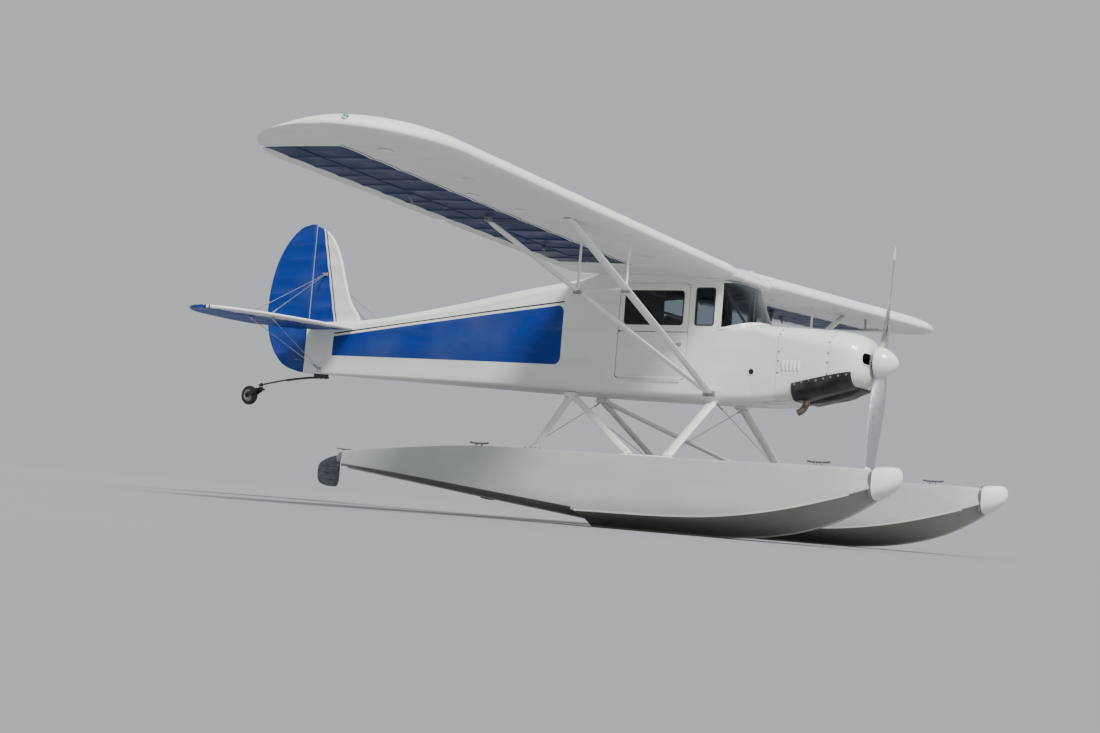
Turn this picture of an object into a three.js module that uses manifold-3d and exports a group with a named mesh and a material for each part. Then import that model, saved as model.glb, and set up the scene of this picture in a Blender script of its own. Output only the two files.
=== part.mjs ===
// A two-seat, high-wing, strut-braced light aircraft on twin floats, in millimetres.
// +Z is up and +X is forward. The origin is on the floor, under the middle of the aircraft's length.
// A station is a distance aft of the propeller's plane; port is +Y.
import * as THREE from "three";
import { mergeVertices } from "three/addons/utils/BufferGeometryUtils.js";
import Module from "manifold-3d";

const wasm = await Module();
wasm.setup();

// Overall
const GAP = 0.3;
const MOVING_GAP = 8;
const THRUST_HEIGHT = 1560;
const BOW_REACH = 730;
const AFT_REACH = 7000;
const HUB_X = (AFT_REACH - BOW_REACH) / 2;
const SIDES = [
  { word: "port", sign: 1 },
  { word: "starboard", sign: -1 },
];

// Wing
const LEADING_STATION = 1240;
const CHORD = 1600;
const CHORD_HEIGHT = 2260;
const ROOT_RIB = 382;
const TIP_START = 4500;
const HALF_SPAN = 5365;
const DIHEDRAL = THREE.MathUtils.degToRad(2.2);
const THICKNESS = 0.12;
const CAMBER = 0.04;
const CAMBER_PLACE = 0.4;
const AIRFOIL_STEPS = 10;
const HINGE_CHORD = 1225;
const HINGE_NOSE = 51;
const FLAP_DROP = 50;
const AILERON_THROW = 18;
const FLAP_SPAN = { inner: 470, outer: 2520 };
const AILERON_SPAN = { inner: 2620, outer: 4860 };

// Fuselage
const HALF_WIDTH = 358;
const FIREWALL_STATION = 800;
const SCREEN_STATION = 1030;
const POST_STATION = 1370;
const CABIN_END = 2840;
const TAIL_POST = 6190;
const WALL = 25;
const COWL_WALL = 10;
const CORNER_STEPS = 3;
const ARCH_STEPS = 10;
const ARCH_POWER = 2.3;
const DECK_SHOULDER = 1765;
const DECK_CROWN = 1852;
const HEADER_HEIGHT = 2176;
const SILL_HEIGHT = 1330;

// Tail
const TAILPLANE_HEIGHT = 1750;
const TAIL_THICKNESS = 30;
const RUDDER_HINGE = 6222;
const ELEVATOR_HINGE = 6115;
const TAIL_NOSE = 17;
const TORQUE_TUBE = 18;

// Floats
const FLOAT_CENTRE = 1320;
const STEP_STATION = 1920;
const DECK_HEIGHT = 600;
const KEEL_STRIP = 22;
const STERN_STATION = 4500;

const at = (station) => HUB_X - station;

// Meshes and solids

function geometryOf(positions, indices) {
  const geometry = new THREE.BufferGeometry();
  geometry.setAttribute("position", new THREE.Float32BufferAttribute(positions, 3));
  geometry.setIndex(indices);
  return geometry;
}

function solidOf(geometry) {
  const bare = geometry.clone();
  bare.deleteAttribute("normal");
  bare.deleteAttribute("uv");
  const merged = mergeVertices(bare, 1e-3);
  return new wasm.Manifold(new wasm.Mesh({
    numProp: 3,
    vertProperties: new Float32Array(merged.attributes.position.array),
    triVerts: new Uint32Array(merged.index.array),
  }));
}

function meshOf(name, solid, material) {
  const { vertProperties, triVerts } = solid.getMesh();
  const mesh = new THREE.Mesh(geometryOf(Array.from(vertProperties), Array.from(triVerts)), material);
  mesh.geometry.computeVertexNormals();
  mesh.name = name;
  return mesh;
}

// Triangles over a flat ring, turning the same way as the ring.
function capTriangles(ring) {
  const box = new THREE.Box3().setFromPoints(ring);
  const extent = box.getSize(new THREE.Vector3());
  const least = Math.min(extent.x, extent.y, extent.z);
  const flat = ring.map((point) => {
    if (least === extent.x) return new THREE.Vector2(point.y, point.z);
    if (least === extent.y) return new THREE.Vector2(point.z, point.x);
    return new THREE.Vector2(point.x, point.y);
  });
  const turn = Math.sign(THREE.ShapeUtils.area(flat));
  return THREE.ShapeUtils.triangulateShape(flat, []).map(([a, b, c]) => {
    const same = Math.sign(THREE.ShapeUtils.area([flat[a], flat[b], flat[c]])) === turn;
    return same ? [a, b, c] : [a, c, b];
  });
}

function volumeOf(points, triangles) {
  return triangles.reduce((sum, [a, b, c]) => {
    return sum + points[a].dot(points[b].clone().cross(points[c]));
  }, 0);
}

// A closed solid through rings that have the same number of points.
function loft(rings) {
  const count = rings[0].length;
  const points = rings.flat();
  const last = (rings.length - 1) * count;
  const triangles = [];
  for (let row = 0; row < last; row += count) {
    for (let i = 0; i < count; i += 1) {
      const next = (i + 1) % count;
      triangles.push([row + i, row + next, row + count + next]);
      triangles.push([row + i, row + count + next, row + count + i]);
    }
  }
  capTriangles(rings[0]).forEach(([a, b, c]) => triangles.push([a, c, b]));
  capTriangles(rings.at(-1)).forEach(([a, b, c]) => triangles.push([last + a, last + b, last + c]));
  const outward = volumeOf(points, triangles) > 0;
  const indices = triangles.flatMap(([a, b, c]) => (outward ? [a, b, c] : [a, c, b]));
  return solidOf(geometryOf(points.flatMap((point) => point.toArray()), indices));
}

function block({ stations, sides, heights }) {
  const [front, back] = stations;
  const [right, left] = sides;
  const [low, high] = heights;
  const geometry = new THREE.BoxGeometry(back - front, left - right, high - low);
  geometry.translate(at((front + back) / 2), (left + right) / 2, (low + high) / 2);
  return solidOf(geometry);
}

function cylinder(radius, start, end, sides = 16) {
  const along = end.clone().sub(start);
  const geometry = new THREE.CylinderGeometry(radius, radius, along.length(), sides);
  const turn = new THREE.Quaternion().setFromUnitVectors(new THREE.Vector3(0, 1, 0), along.normalize());
  geometry.applyQuaternion(turn);
  geometry.translate(...start.clone().add(end).multiplyScalar(0.5).toArray());
  return solidOf(geometry);
}

const point = (station, y, z) => new THREE.Vector3(at(station), y, z);

function rod(radius, route, sides = 8) {
  return joined(route.slice(1).map((end, i) => cylinder(radius, route[i], end, sides)));
}

// A streamlined strut: an oval of the given chord and thickness swept straight between two points.
function strut(start, end, chord, thickness) {
  const along = end.clone().sub(start).normalize();
  const fore = new THREE.Vector3(1, 0, 0);
  fore.sub(along.clone().multiplyScalar(fore.dot(along))).normalize();
  const side = along.clone().cross(fore);
  const ovalAt = (centre) => Array.from({ length: 12 }, (_, i) => {
    const angle = (i / 12) * 2 * Math.PI;
    const pinch = Math.cos(angle) < 0 ? 1.0 + 0.35 * Math.cos(angle) : 1;
    return centre.clone()
      .addScaledVector(fore, (chord / 2) * Math.cos(angle))
      .addScaledVector(side, (thickness / 2) * Math.sin(angle) * pinch);
  });
  return loft([ovalAt(start), ovalAt(end)]);
}

const joined = (solids) => solids.reduce((sum, solid) => sum.add(solid));
const cut = (solid, tools) => tools.reduce((left, tool) => left.subtract(tool), solid);

// A plate cut from an outline of [station, other] pairs, in the X-Z plane or the X-Y plane.
function plate(outline, thickness, lie) {
  const shape = new THREE.Shape(outline.map(([station, other]) => new THREE.Vector2(at(station), other)));
  const bevel = Math.min(thickness / 2 - 1, 11);
  const geometry = new THREE.ExtrudeGeometry(shape, {
    depth: thickness - 2 * bevel,
    bevelEnabled: true,
    bevelThickness: bevel,
    bevelSize: bevel,
    bevelOffset: -bevel,
    bevelSegments: 2,
  });
  geometry.translate(0, 0, -(thickness - 2 * bevel) / 2);
  if (lie === "upright") geometry.rotateX(Math.PI / 2);
  return solidOf(geometry);
}

// Fuselage frames: flat sides, rounded lower corners and an arch from shoulder to shoulder.

const NOSE_FRAMES = [
  { station: 62, half: 218, bottom: 1422, shoulder: 1560, crown: 1690, corner: 100 },
  { station: 84, half: 260, bottom: 1382, shoulder: 1570, crown: 1732, corner: 125 },
  { station: 140, half: 305, bottom: 1345, shoulder: 1585, crown: 1775, corner: 150 },
  { station: 220, half: 332, bottom: 1315, shoulder: 1600, crown: 1800, corner: 150 },
  { station: 330, half: 344, bottom: 1280, shoulder: 1615, crown: 1815, corner: 140 },
];
const COWL_FRAMES = [
  NOSE_FRAMES.at(-1),
  { station: 560, half: 354, bottom: 1222, shoulder: 1655, crown: 1830, corner: 125 },
  { station: FIREWALL_STATION, half: HALF_WIDTH, bottom: 1175, shoulder: 1700, crown: 1842, corner: 100 },
];
const DECK_LINE = { half: HALF_WIDTH, shoulder: DECK_SHOULDER, crown: DECK_CROWN };
const BOOT_FRAMES = [
  COWL_FRAMES.at(-1),
  { ...DECK_LINE, station: SCREEN_STATION, bottom: 1160, corner: 70 },
];
const DECK_FRAMES = [
  BOOT_FRAMES.at(-1),
  { ...DECK_LINE, station: POST_STATION, bottom: 1162, corner: 60 },
];
const CABIN_FRAMES = [
  { station: POST_STATION, half: HALF_WIDTH, bottom: 1162, shoulder: 2318, crown: 2352, corner: 60 },
  { station: 1620, half: HALF_WIDTH, bottom: 1165, shoulder: 2378, crown: 2410, corner: 60 },
  { station: 2050, half: HALF_WIDTH, bottom: 1172, shoulder: 2374, crown: 2408, corner: 60 },
  { station: 2480, half: HALF_WIDTH, bottom: 1180, shoulder: 2290, crown: 2342, corner: 60 },
  { station: CABIN_END, half: 352, bottom: 1190, shoulder: 2110, crown: 2258, corner: 60 },
];
const REAR_FRAMES = [
  CABIN_FRAMES.at(-1),
  { station: 3450, half: 316, bottom: 1208, shoulder: 1985, crown: 2168, corner: 45 },
  { station: 4360, half: 236, bottom: 1238, shoulder: 1850, crown: 2002, corner: 35 },
  { station: 5400, half: 124, bottom: 1270, shoulder: 1755, crown: 1850, corner: 25 },
  { station: TAIL_POST, half: 32, bottom: 1295, shoulder: 1785, crown: 1812, corner: 14 },
];

function frameRing(frame, grow = 0) {
  const half = frame.half + grow;
  const bottom = frame.bottom - grow;
  const rise = frame.crown + grow - frame.shoulder;
  const corner = Math.max(4, frame.corner + grow);
  const corners = (from, side) => Array.from({ length: CORNER_STEPS + 1 }, (_, i) => {
    const angle = from + (i / CORNER_STEPS) * (Math.PI / 2);
    return point(frame.station, side * (half - corner) + corner * Math.cos(angle),
      bottom + corner + corner * Math.sin(angle));
  });
  const arch = Array.from({ length: ARCH_STEPS + 1 }, (_, i) => {
    const angle = (i / ARCH_STEPS) * Math.PI;
    const reach = Math.sign(Math.cos(angle)) * Math.abs(Math.cos(angle)) ** (2 / ARCH_POWER);
    return point(frame.station, half * reach, frame.shoulder + rise * Math.sin(angle) ** (2 / ARCH_POWER));
  });
  return [...corners(-Math.PI / 2, 1), ...arch, ...corners(Math.PI, -1)];
}

const body = (frames, grow = 0) => loft(frames.map((frame) => frameRing(frame, grow)));

const moved = (frame, station) => ({ ...frame, station });

// The same body with its end frames moved, so that it can be cut out of a shell without leaving a skin.
function boreOf(frames, wall, start, end) {
  const middle = frames.slice(1, -1);
  return body([moved(frames[0], start), ...middle, moved(frames.at(-1), end)], -wall);
}

// A closed outline cut through both sides of the cabin, or one of them.
function sidePanel({ from, to, low, high, corner }, sides, shrink = 0) {
  const [x0, x1] = [at(to) + shrink, at(from) - shrink];
  const [z0, z1] = [low + shrink, high - shrink];
  const round = Math.max(1, corner - shrink);
  const shape = new THREE.Shape();
  shape.moveTo(x0 + round, z0);
  shape.lineTo(x1 - round, z0);
  shape.absarc(x1 - round, z0 + round, round, -Math.PI / 2, 0, false);
  shape.absarc(x1 - round, z1 - round, round, 0, Math.PI / 2, false);
  shape.absarc(x0 + round, z1 - round, round, Math.PI / 2, Math.PI, false);
  shape.absarc(x0 + round, z0 + round, round, Math.PI, 1.5 * Math.PI, false);
  const geometry = new THREE.ExtrudeGeometry(shape, {
    depth: sides[1] - sides[0], bevelEnabled: false, curveSegments: 3,
  });
  geometry.rotateX(Math.PI / 2);
  geometry.translate(0, sides[1], 0);
  return solidOf(geometry);
}

// Aerofoil: a cambered section with a nearly flat underside, as [chordwise, height] fractions.
function airfoil() {
  const points = [];
  for (let i = 0; i < 2 * AIRFOIL_STEPS; i += 1) {
    const upper = i < AIRFOIL_STEPS;
    const angle = (i / AIRFOIL_STEPS) * Math.PI;
    const x = (1 + Math.cos(angle)) / 2;
    const half = 5 * THICKNESS * (0.2969 * Math.sqrt(x) - 0.126 * x - 0.3516 * x ** 2
      + 0.2843 * x ** 3 - 0.1036 * x ** 4) + 0.0025;
    const fore = x < CAMBER_PLACE;
    const line = fore
      ? (CAMBER / CAMBER_PLACE ** 2) * (2 * CAMBER_PLACE * x - x ** 2)
      : (CAMBER / (1 - CAMBER_PLACE) ** 2) * (1 - 2 * CAMBER_PLACE + 2 * CAMBER_PLACE * x - x ** 2);
    const edge = i === 0 ? 0 : half;
    points.push([x, line + (upper ? edge : -half)]);
  }
  return points;
}

// The wing's height at its chord line, out along the span.
const wingHeight = (y) => CHORD_HEIGHT + Math.abs(y) * Math.tan(DIHEDRAL);

// Rounded tip: how far the leading edge is swept back and how much chord is left at each step out.
const TIP_STEPS = [0, 0.4, 0.65, 0.83, 0.94, 0.99];
const TIP_LEADING_SHARE = 0.42;

function wingRings(sign) {
  const section = airfoil();
  const ringAt = (reach, left) => section.map(([x, z]) => {
    const leading = LEADING_STATION + CHORD * (1 - left) * TIP_LEADING_SHARE;
    return point(leading + x * CHORD * left, sign * reach, wingHeight(reach) + z * CHORD * left);
  });
  const tip = TIP_STEPS.map((share) => {
    return ringAt(TIP_START + share * (HALF_SPAN - TIP_START), Math.sqrt(1 - share ** 2));
  });
  return [ringAt(ROOT_RIB, 1), ...tip];
}

const hingeHeight = (y) => wingHeight(y) + 0.025 * CHORD;
const hingePoint = (sign, y) => point(LEADING_STATION + HINGE_CHORD, sign * y, hingeHeight(y));
const span = (sign, inner, outer) => (sign > 0 ? [inner, outer] : [-outer, -inner]);

// A prism along a surface's hinge line, from an outline of [aft, up] pairs around the hinge.
function alongHinge(sign, inner, outer, outline) {
  const ringAt = (y) => outline.map(([aft, up]) => {
    return point(LEADING_STATION + HINGE_CHORD + aft, sign * y, hingeHeight(y) + up);
  });
  return loft([ringAt(inner), ringAt(outer)]);
}

const BEHIND_HINGE = CHORD - HINGE_CHORD + 50;
const ABOVE_WING = 150;
const NOSE_STEPS = 12;

// A round arc ahead of the hinge, from straight up round to the given angle past straight down.
function noseArc(radius, past) {
  const sweep = 180 + past;
  return Array.from({ length: NOSE_STEPS + 1 }, (_, i) => {
    const angle = THREE.MathUtils.degToRad(90 + (i / NOSE_STEPS) * sweep);
    return [radius * Math.cos(angle), radius * Math.sin(angle)];
  });
}

function wingSurface(sign, whole, { inner, outer }) {
  const behind = [[0, ABOVE_WING], [0, -ABOVE_WING], [BEHIND_HINGE, -ABOVE_WING], [BEHIND_HINGE, ABOVE_WING]];
  const nose = noseArc(HINGE_NOSE, 0);
  return alongHinge(sign, inner, outer, behind).intersect(whole).add(alongHinge(sign, inner, outer, nose));
}

// The cove is cut back under the wing as far as the surface's underside swings forward when it drops.
function cove(sign, { inner, outer }, drop) {
  const swing = THREE.MathUtils.degToRad(drop);
  const radius = HINGE_NOSE + MOVING_GAP;
  const run = (ABOVE_WING - radius * Math.cos(swing)) / Math.sin(swing);
  const outline = [
    [BEHIND_HINGE, ABOVE_WING], [0, ABOVE_WING], ...noseArc(radius, -drop),
    [run * Math.cos(swing) - radius * Math.sin(swing), -ABOVE_WING], [BEHIND_HINGE, -ABOVE_WING],
  ];
  return alongHinge(sign, inner - MOVING_GAP, outer + MOVING_GAP, outline);
}

function wingWithCoves(sign, whole) {
  return cut(whole, [cove(sign, FLAP_SPAN, FLAP_DROP), cove(sign, AILERON_SPAN, AILERON_THROW)]);
}

// Paints
const paint = (color, roughness, metalness = 0) => {
  return new THREE.MeshStandardMaterial({ color, roughness, metalness });
};
const WHITE = paint(0xe9e7df, 0.4);
const BLUE = paint(0x12308f, 0.4);
const SILVER = paint(0xb9bdbb, 0.45, 0.3);
const BLACK = paint(0x161616, 0.7);
const STEEL = paint(0x8d8f90, 0.35, 0.9);
const GLASS = paint(0x9fb4bd, 0.1);
const LEATHER = paint(0x4b3a2c, 0.8);
const WOOD = paint(0x8a6a45, 0.7);

const plane = new THREE.Group();
const place = (name, solid, material) => plane.add(meshOf(name, solid, material));

// Nose and engine

const INLET = { centre: 172, halfWide: 82, low: 1520, high: 1622 };

function noseBowl() {
  const shell = cut(body(NOSE_FRAMES), [boreOf(NOSE_FRAMES, COWL_WALL, 76, 345)]);
  const shaftHole = cylinder(80, point(40, 0, THRUST_HEIGHT), point(120, 0, THRUST_HEIGHT), 24);
  const inlets = SIDES.map(({ sign }) => block({
    stations: [40, 200],
    sides: [sign * INLET.centre - INLET.halfWide, sign * INLET.centre + INLET.halfWide],
    heights: [INLET.low, INLET.high],
  }));
  return cut(shell, [shaftHole, ...inlets]);
}

function cowling() {
  const frames = [moved(COWL_FRAMES[0], 330 + GAP), ...COWL_FRAMES.slice(1, -1),
    moved(COWL_FRAMES.at(-1), FIREWALL_STATION - GAP)];
  return cut(body(frames), [boreOf(COWL_FRAMES, COWL_WALL, 300, 830)]);
}

const ENGINE = { stations: [300, FIREWALL_STATION - GAP], halfWide: 290, low: 1385, high: 1690 };
const HUB_FACE = 52;
const SHAFT_RADIUS = 45;

function engineBlock() {
  const crankcase = block({
    stations: ENGINE.stations,
    sides: [-ENGINE.halfWide, ENGINE.halfWide],
    heights: [ENGINE.low, ENGINE.high],
  });
  const [front] = ENGINE.stations;
  const shaftEnds = [front + 5, HUB_FACE].map((station) => point(station, 0, THRUST_HEIGHT));
  const shaft = cylinder(SHAFT_RADIUS, ...shaftEnds, 20);
  return crankcase.add(shaft);
}

// A black pan round the lower edge of the nose, with a deeper air duct along its middle.
const CHIN_SECTIONS = [
  { station: 150, half: 110, low: 1312, rim: 1452 },
  { station: 230, half: 125, low: 1262, rim: 1436 },
  { station: 420, half: 125, low: 1212, rim: 1392 },
  { station: 650, half: 85, low: 1180, rim: 1334 },
];
const CHIN_SKIN = 16;

function chinScoop() {
  const duct = loft(CHIN_SECTIONS.map(({ station, half, low }) => [
    point(station, half, 1400), point(station, half, low + 35), point(station, half - 35, low),
    point(station, 35 - half, low), point(station, -half, low + 35), point(station, -half, 1400),
  ]));
  const below = loft(CHIN_SECTIONS.map(({ station, rim }) => [
    point(station, 500, rim), point(station, 500, 1000),
    point(station, -500, 1000), point(station, -500, rim),
  ]));
  const skin = joined([body(NOSE_FRAMES, CHIN_SKIN), body(COWL_FRAMES, CHIN_SKIN)]);
  const mouth = block({ stations: [100, 215], sides: [-82, 82], heights: [1285, 1400] });
  const pan = cut(skin.intersect(below).add(duct), [body(NOSE_FRAMES, GAP), body(COWL_FRAMES, GAP)]);
  return cut(pan, [mouth]);
}

function exhaustStack() {
  const pipe = rod(29, [point(560, -190, 1290), point(585, -200, 1150), point(640, -205, 1098)], 14);
  return cut(pipe, [body(COWL_FRAMES, CHIN_SKIN + GAP)]);
}

function bootCowl() {
  const frames = [BOOT_FRAMES[0], moved(BOOT_FRAMES[1], SCREEN_STATION - GAP)];
  return cut(body(frames), [boreOf(BOOT_FRAMES, COWL_WALL, FIREWALL_STATION + 12, SCREEN_STATION + 30)]);
}

// Propeller

const BLADE_STATIONS = [
  { radius: 60, chord: 90, thick: 60, pitch: 62 },
  { radius: 220, chord: 140, thick: 34, pitch: 44 },
  { radius: 480, chord: 165, thick: 22, pitch: 27 },
  { radius: 760, chord: 145, thick: 15, pitch: 18 },
  { radius: 960, chord: 100, thick: 10, pitch: 14 },
  { radius: 1020, chord: 45, thick: 6, pitch: 13 },
];
const PROPELLER_REST = THREE.MathUtils.degToRad(8);

function blade(turn) {
  const out = new THREE.Vector3(0, Math.sin(turn), Math.cos(turn));
  const across = new THREE.Vector3(1, 0, 0).cross(out);
  const fore = new THREE.Vector3(1, 0, 0);
  return loft(BLADE_STATIONS.map(({ radius, chord, thick, pitch }) => {
    const tilt = THREE.MathUtils.degToRad(pitch);
    const lengthwise = across.clone().multiplyScalar(Math.cos(tilt)).addScaledVector(fore, Math.sin(tilt));
    const through = fore.clone().multiplyScalar(Math.cos(tilt)).addScaledVector(across, -Math.sin(tilt));
    return Array.from({ length: 12 }, (_, i) => {
      const angle = (i / 12) * 2 * Math.PI;
      return point(0, 0, THRUST_HEIGHT).addScaledVector(out, radius)
        .addScaledVector(lengthwise, (chord / 2) * Math.cos(angle))
        .addScaledVector(through, (thick / 2) * Math.sin(angle));
    });
  }));
}

function propeller() {
  const hub = cylinder(78, point(HUB_FACE - 6, 0, THRUST_HEIGHT), point(-38, 0, THRUST_HEIGHT), 24);
  return joined([hub, blade(PROPELLER_REST), blade(PROPELLER_REST + Math.PI)]);
}

function spinner() {
  const profile = [[0, 150], [46, 138], [88, 104], [122, 58], [138, -5], [142, -30]];
  const inner = [[132, -30], [118, 0], [0, 0]];
  const outline = [...profile, ...inner].reverse().map(([radius, ahead]) => new THREE.Vector2(radius, ahead));
  const geometry = new THREE.LatheGeometry(outline, 28);
  geometry.rotateZ(-Math.PI / 2);
  geometry.translate(at(0), 0, THRUST_HEIGHT);
  const shell = solidOf(geometry);
  const slot = (turn) => {
    const out = new THREE.Vector3(0, Math.sin(turn), Math.cos(turn));
    const start = point(8, 0, THRUST_HEIGHT).addScaledVector(out, 60);
    const end = point(8, 0, THRUST_HEIGHT).addScaledVector(out, 200);
    return cylinder(70, start, end, 20);
  };
  const hub = cylinder(84, point(60, 0, THRUST_HEIGHT), point(-39, 0, THRUST_HEIGHT), 24);
  return cut(shell, [slot(PROPELLER_REST), slot(PROPELLER_REST + Math.PI), hub]);
}

// Cabin

const DOOR = { from: 1662, to: 2366, split: 1752, inner: -HALF_WIDTH + WALL + 1, corner: 30 };
const DOOR_GAP = 6;
const QUARTER_WINDOW = { from: 1420, to: 1602, low: 1812, high: 2140, corner: 22 };
const PORT_WINDOW = { from: 1692, to: 2300, low: 1812, high: 2140, corner: 30 };
const DOOR_WINDOW = { from: 1722, to: 2306, low: 1812, high: 2112, corner: 30 };
const SKYLIGHT = { from: 1480, to: 2060, half: 290 };
const PANE = { outer: HALF_WIDTH - 4, inner: HALF_WIDTH - 9 };
const STARBOARD_WALL = [-HALF_WIDTH - 20, -HALF_WIDTH + WALL + 20];
const PORT_WALL = [HALF_WIDTH - WALL - 20, HALF_WIDTH + 20];

const skylightBlock = (shrink, heights) => block({
  stations: [SKYLIGHT.from + shrink, SKYLIGHT.to - shrink],
  sides: [-SKYLIGHT.half + shrink, SKYLIGHT.half - shrink],
  heights,
});

// The wing's nose carried across the cabin's roof, a little lower than the wings' own.
const CAP_DROP = 4;

function leadingEdgeCap() {
  const section = airfoil();
  const ringAt = (y) => section.map(([x, z]) => {
    return point(LEADING_STATION + x * CHORD, y, CHORD_HEIGHT + z * CHORD - CAP_DROP);
  });
  const nose = loft([ringAt(-HALF_WIDTH), ringAt(HALF_WIDTH)]);
  return nose.intersect(block({ stations: [1200, 1420], sides: [-500, 500], heights: [2100, 2500] }));
}

// The space inside the cabin's walls, open towards the firewall.
function cabinRoom(wall) {
  const underDeck = body([moved(DECK_FRAMES[0], 1000), moved(DECK_FRAMES[1], 1400)], -wall);
  const behindPost = boreOf(CABIN_FRAMES, wall, POST_STATION - 5, CABIN_END - wall);
  return underDeck.add(behindPost);
}

function cabinShell() {
  const whole = joined([body(DECK_FRAMES), body(CABIN_FRAMES)]);
  const screenMouth = block({ stations: [1262, 1400], sides: [-333, 333], heights: [1700, 2180] });
  const windows = [
    sidePanel(QUARTER_WINDOW, STARBOARD_WALL),
    sidePanel(QUARTER_WINDOW, PORT_WALL),
    sidePanel(PORT_WINDOW, PORT_WALL),
    skylightBlock(0, [2300, 2500]),
  ];
  const doorway = sidePanel({ ...DOOR, low: SILL_HEIGHT, high: HEADER_HEIGHT }, STARBOARD_WALL);
  return cut(whole, [cabinRoom(WALL), screenMouth, ...windows, doorway]).add(leadingEdgeCap());
}

// The windscreen is one sheet, bent round from post to post.
const SCREEN_THICKNESS = 6;

function windscreen() {
  const sheetRing = (front, height, inset) => Array.from({ length: 17 }, (_, i) => {
    const angle = (i / 16) * Math.PI;
    const half = HALF_WIDTH - 2 - inset;
    const reach = Math.abs(Math.cos(angle)) ** (2 / 2.4) * Math.sign(Math.cos(angle));
    const rise = Math.sin(angle) ** (2 / 2.4);
    return point(POST_STATION - GAP - (POST_STATION - front - inset) * rise, half * reach, height);
  });
  const ringAt = (front, height) => {
    return [...sheetRing(front, height, 0), ...sheetRing(front, height, SCREEN_THICKNESS).reverse()];
  };
  const sheet = loft([ringAt(1005, DECK_SHOULDER - 30), ringAt(1272, 2205 + 30)]);
  const cap = leadingEdgeCap();
  const coamings = [body(BOOT_FRAMES, GAP), body(DECK_FRAMES, GAP)];
  return cut(sheet, [...coamings, cap.translate([0, 0, -GAP]), cap.translate([GAP, 0, 0])]);
}

function pane(opening, sign) {
  const [outer, inner] = [sign * PANE.outer, sign * PANE.inner];
  return sidePanel(opening, [Math.min(outer, inner), Math.max(outer, inner)], GAP);
}

function skylight() {
  const skin = body(CABIN_FRAMES).subtract(body(CABIN_FRAMES, -6));
  return skin.intersect(skylightBlock(GAP, [2300, 2500]));
}

function doorLeaf(low, high) {
  const wall = cut(body(CABIN_FRAMES), [body(CABIN_FRAMES, -WALL)]);
  const leaf = sidePanel({ ...DOOR, low, high }, [-HALF_WIDTH - 20, DOOR.inner], DOOR_GAP);
  return wall.intersect(leaf);
}

function instrumentPanel() {
  const slab = block({ stations: [1225, 1245], sides: [-320, 320], heights: [1475, 1840] });
  return slab.intersect(cabinRoom(WALL + GAP));
}

const FLOOR_TOP = 1232;

function cabinFloor() {
  const slab = block({
    stations: [SCREEN_STATION + 10, CABIN_END], sides: [-400, 400], heights: [FLOOR_TOP - 16, FLOOR_TOP],
  });
  return slab.intersect(cabinRoom(WALL + GAP));
}

function seat(front, seatHeight) {
  const low = FLOOR_TOP + GAP;
  const outline = [
    [front + 40, low], [front + 40, seatHeight - 95], [front, seatHeight - 85], [front, seatHeight - 15],
    [front + 25, seatHeight], [front + 375, seatHeight - 20], [front + 430, 1950], [front + 450, 1965],
    [front + 490, 1955], [front + 460, seatHeight - 90], [front + 420, low],
  ];
  const half = 215;
  const rings = [-half, half].map((y) => outline.map(([station, z]) => point(station, y, z)));
  return loft(rings);
}

function controlStick(station) {
  const base = block({
    stations: [station - 35, station + 35], sides: [-30, 30], heights: [FLOOR_TOP + GAP, FLOOR_TOP + 30],
  });
  const route = [
    point(station, 0, FLOOR_TOP + 10), point(station - 10, 0, 1560), point(station + 15, 0, 1640),
  ];
  const lever = rod(11, route, 10);
  return base.add(lever);
}

// Rear fuselage

// The room that the rudder's round nose turns in, between two heights.
function rudderCove(low, high) {
  return cylinder(TAIL_NOSE + MOVING_GAP, point(RUDDER_HINGE, 0, low), point(RUDDER_HINGE, 0, high), 20);
}

function rearFuselage() {
  const frames = [moved(REAR_FRAMES[0], CABIN_END + GAP), ...REAR_FRAMES.slice(1)];
  const tubeHole = cylinder(TORQUE_TUBE + MOVING_GAP, point(ELEVATOR_HINGE, -200, TAILPLANE_HEIGHT),
    point(ELEVATOR_HINGE, 200, TAILPLANE_HEIGHT), 20);
  return cut(body(frames), [tubeHole, rudderCove(1200, 2000)]);
}

// Tail surfaces, as [station, height] or [station, span] outlines

const RUDDER_LOW = 1300;
const RUDDER_HIGH = 2830;
const FIN_OUTLINE = [
  [5470, 1790], [5560, 1905], [5660, 2015], [5760, 2250], [5850, 2490], [5950, 2662], [6060, 2762],
  [6170, 2808],
  [TAIL_POST, 2810], [TAIL_POST, 1780],
];
const RUDDER_OUTLINE = [
  [RUDDER_HINGE, RUDDER_LOW], [RUDDER_HINGE, RUDDER_HIGH], [6330, 2824], [6440, 2760], [6545, 2655],
  [6630, 2525], [6695, 2370], [6738, 2180], [6755, 1990], [6738, 1790], [6680, 1605], [6575, 1450],
  [6430, 1345],
];
const STABILIZER_TIP = 1680;
const ELEVATOR_ROOT = 92;
const STABILIZER_OUTLINE = [
  [5500, 0], [5560, 310], [5660, 880], [5760, 1280], [5880, 1520], [5990, 1635],
  [ELEVATOR_HINGE - 30, STABILIZER_TIP], [ELEVATOR_HINGE, STABILIZER_TIP], [ELEVATOR_HINGE, 0],
];
const ELEVATOR_OUTLINE = [
  [ELEVATOR_HINGE, ELEVATOR_ROOT], [ELEVATOR_HINGE, STABILIZER_TIP], [6225, 1668], [6340, 1605], [6450, 1460],
  [6530, 1230], [6570, 940], [6575, 665], [6550, 480], [6475, 385], [6180, ELEVATOR_ROOT + 30],
];

const tailPlate = (outline, sign) => {
  const half = outline.map(([station, y]) => [station, sign * y]);
  return plate(half, TAIL_THICKNESS, "flat").translate([0, 0, TAILPLANE_HEIGHT]);
};

function fin() {
  return cut(plate(FIN_OUTLINE, TAIL_THICKNESS, "upright"), [body(REAR_FRAMES, GAP), rudderCove(1700, 2950)]);
}

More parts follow.
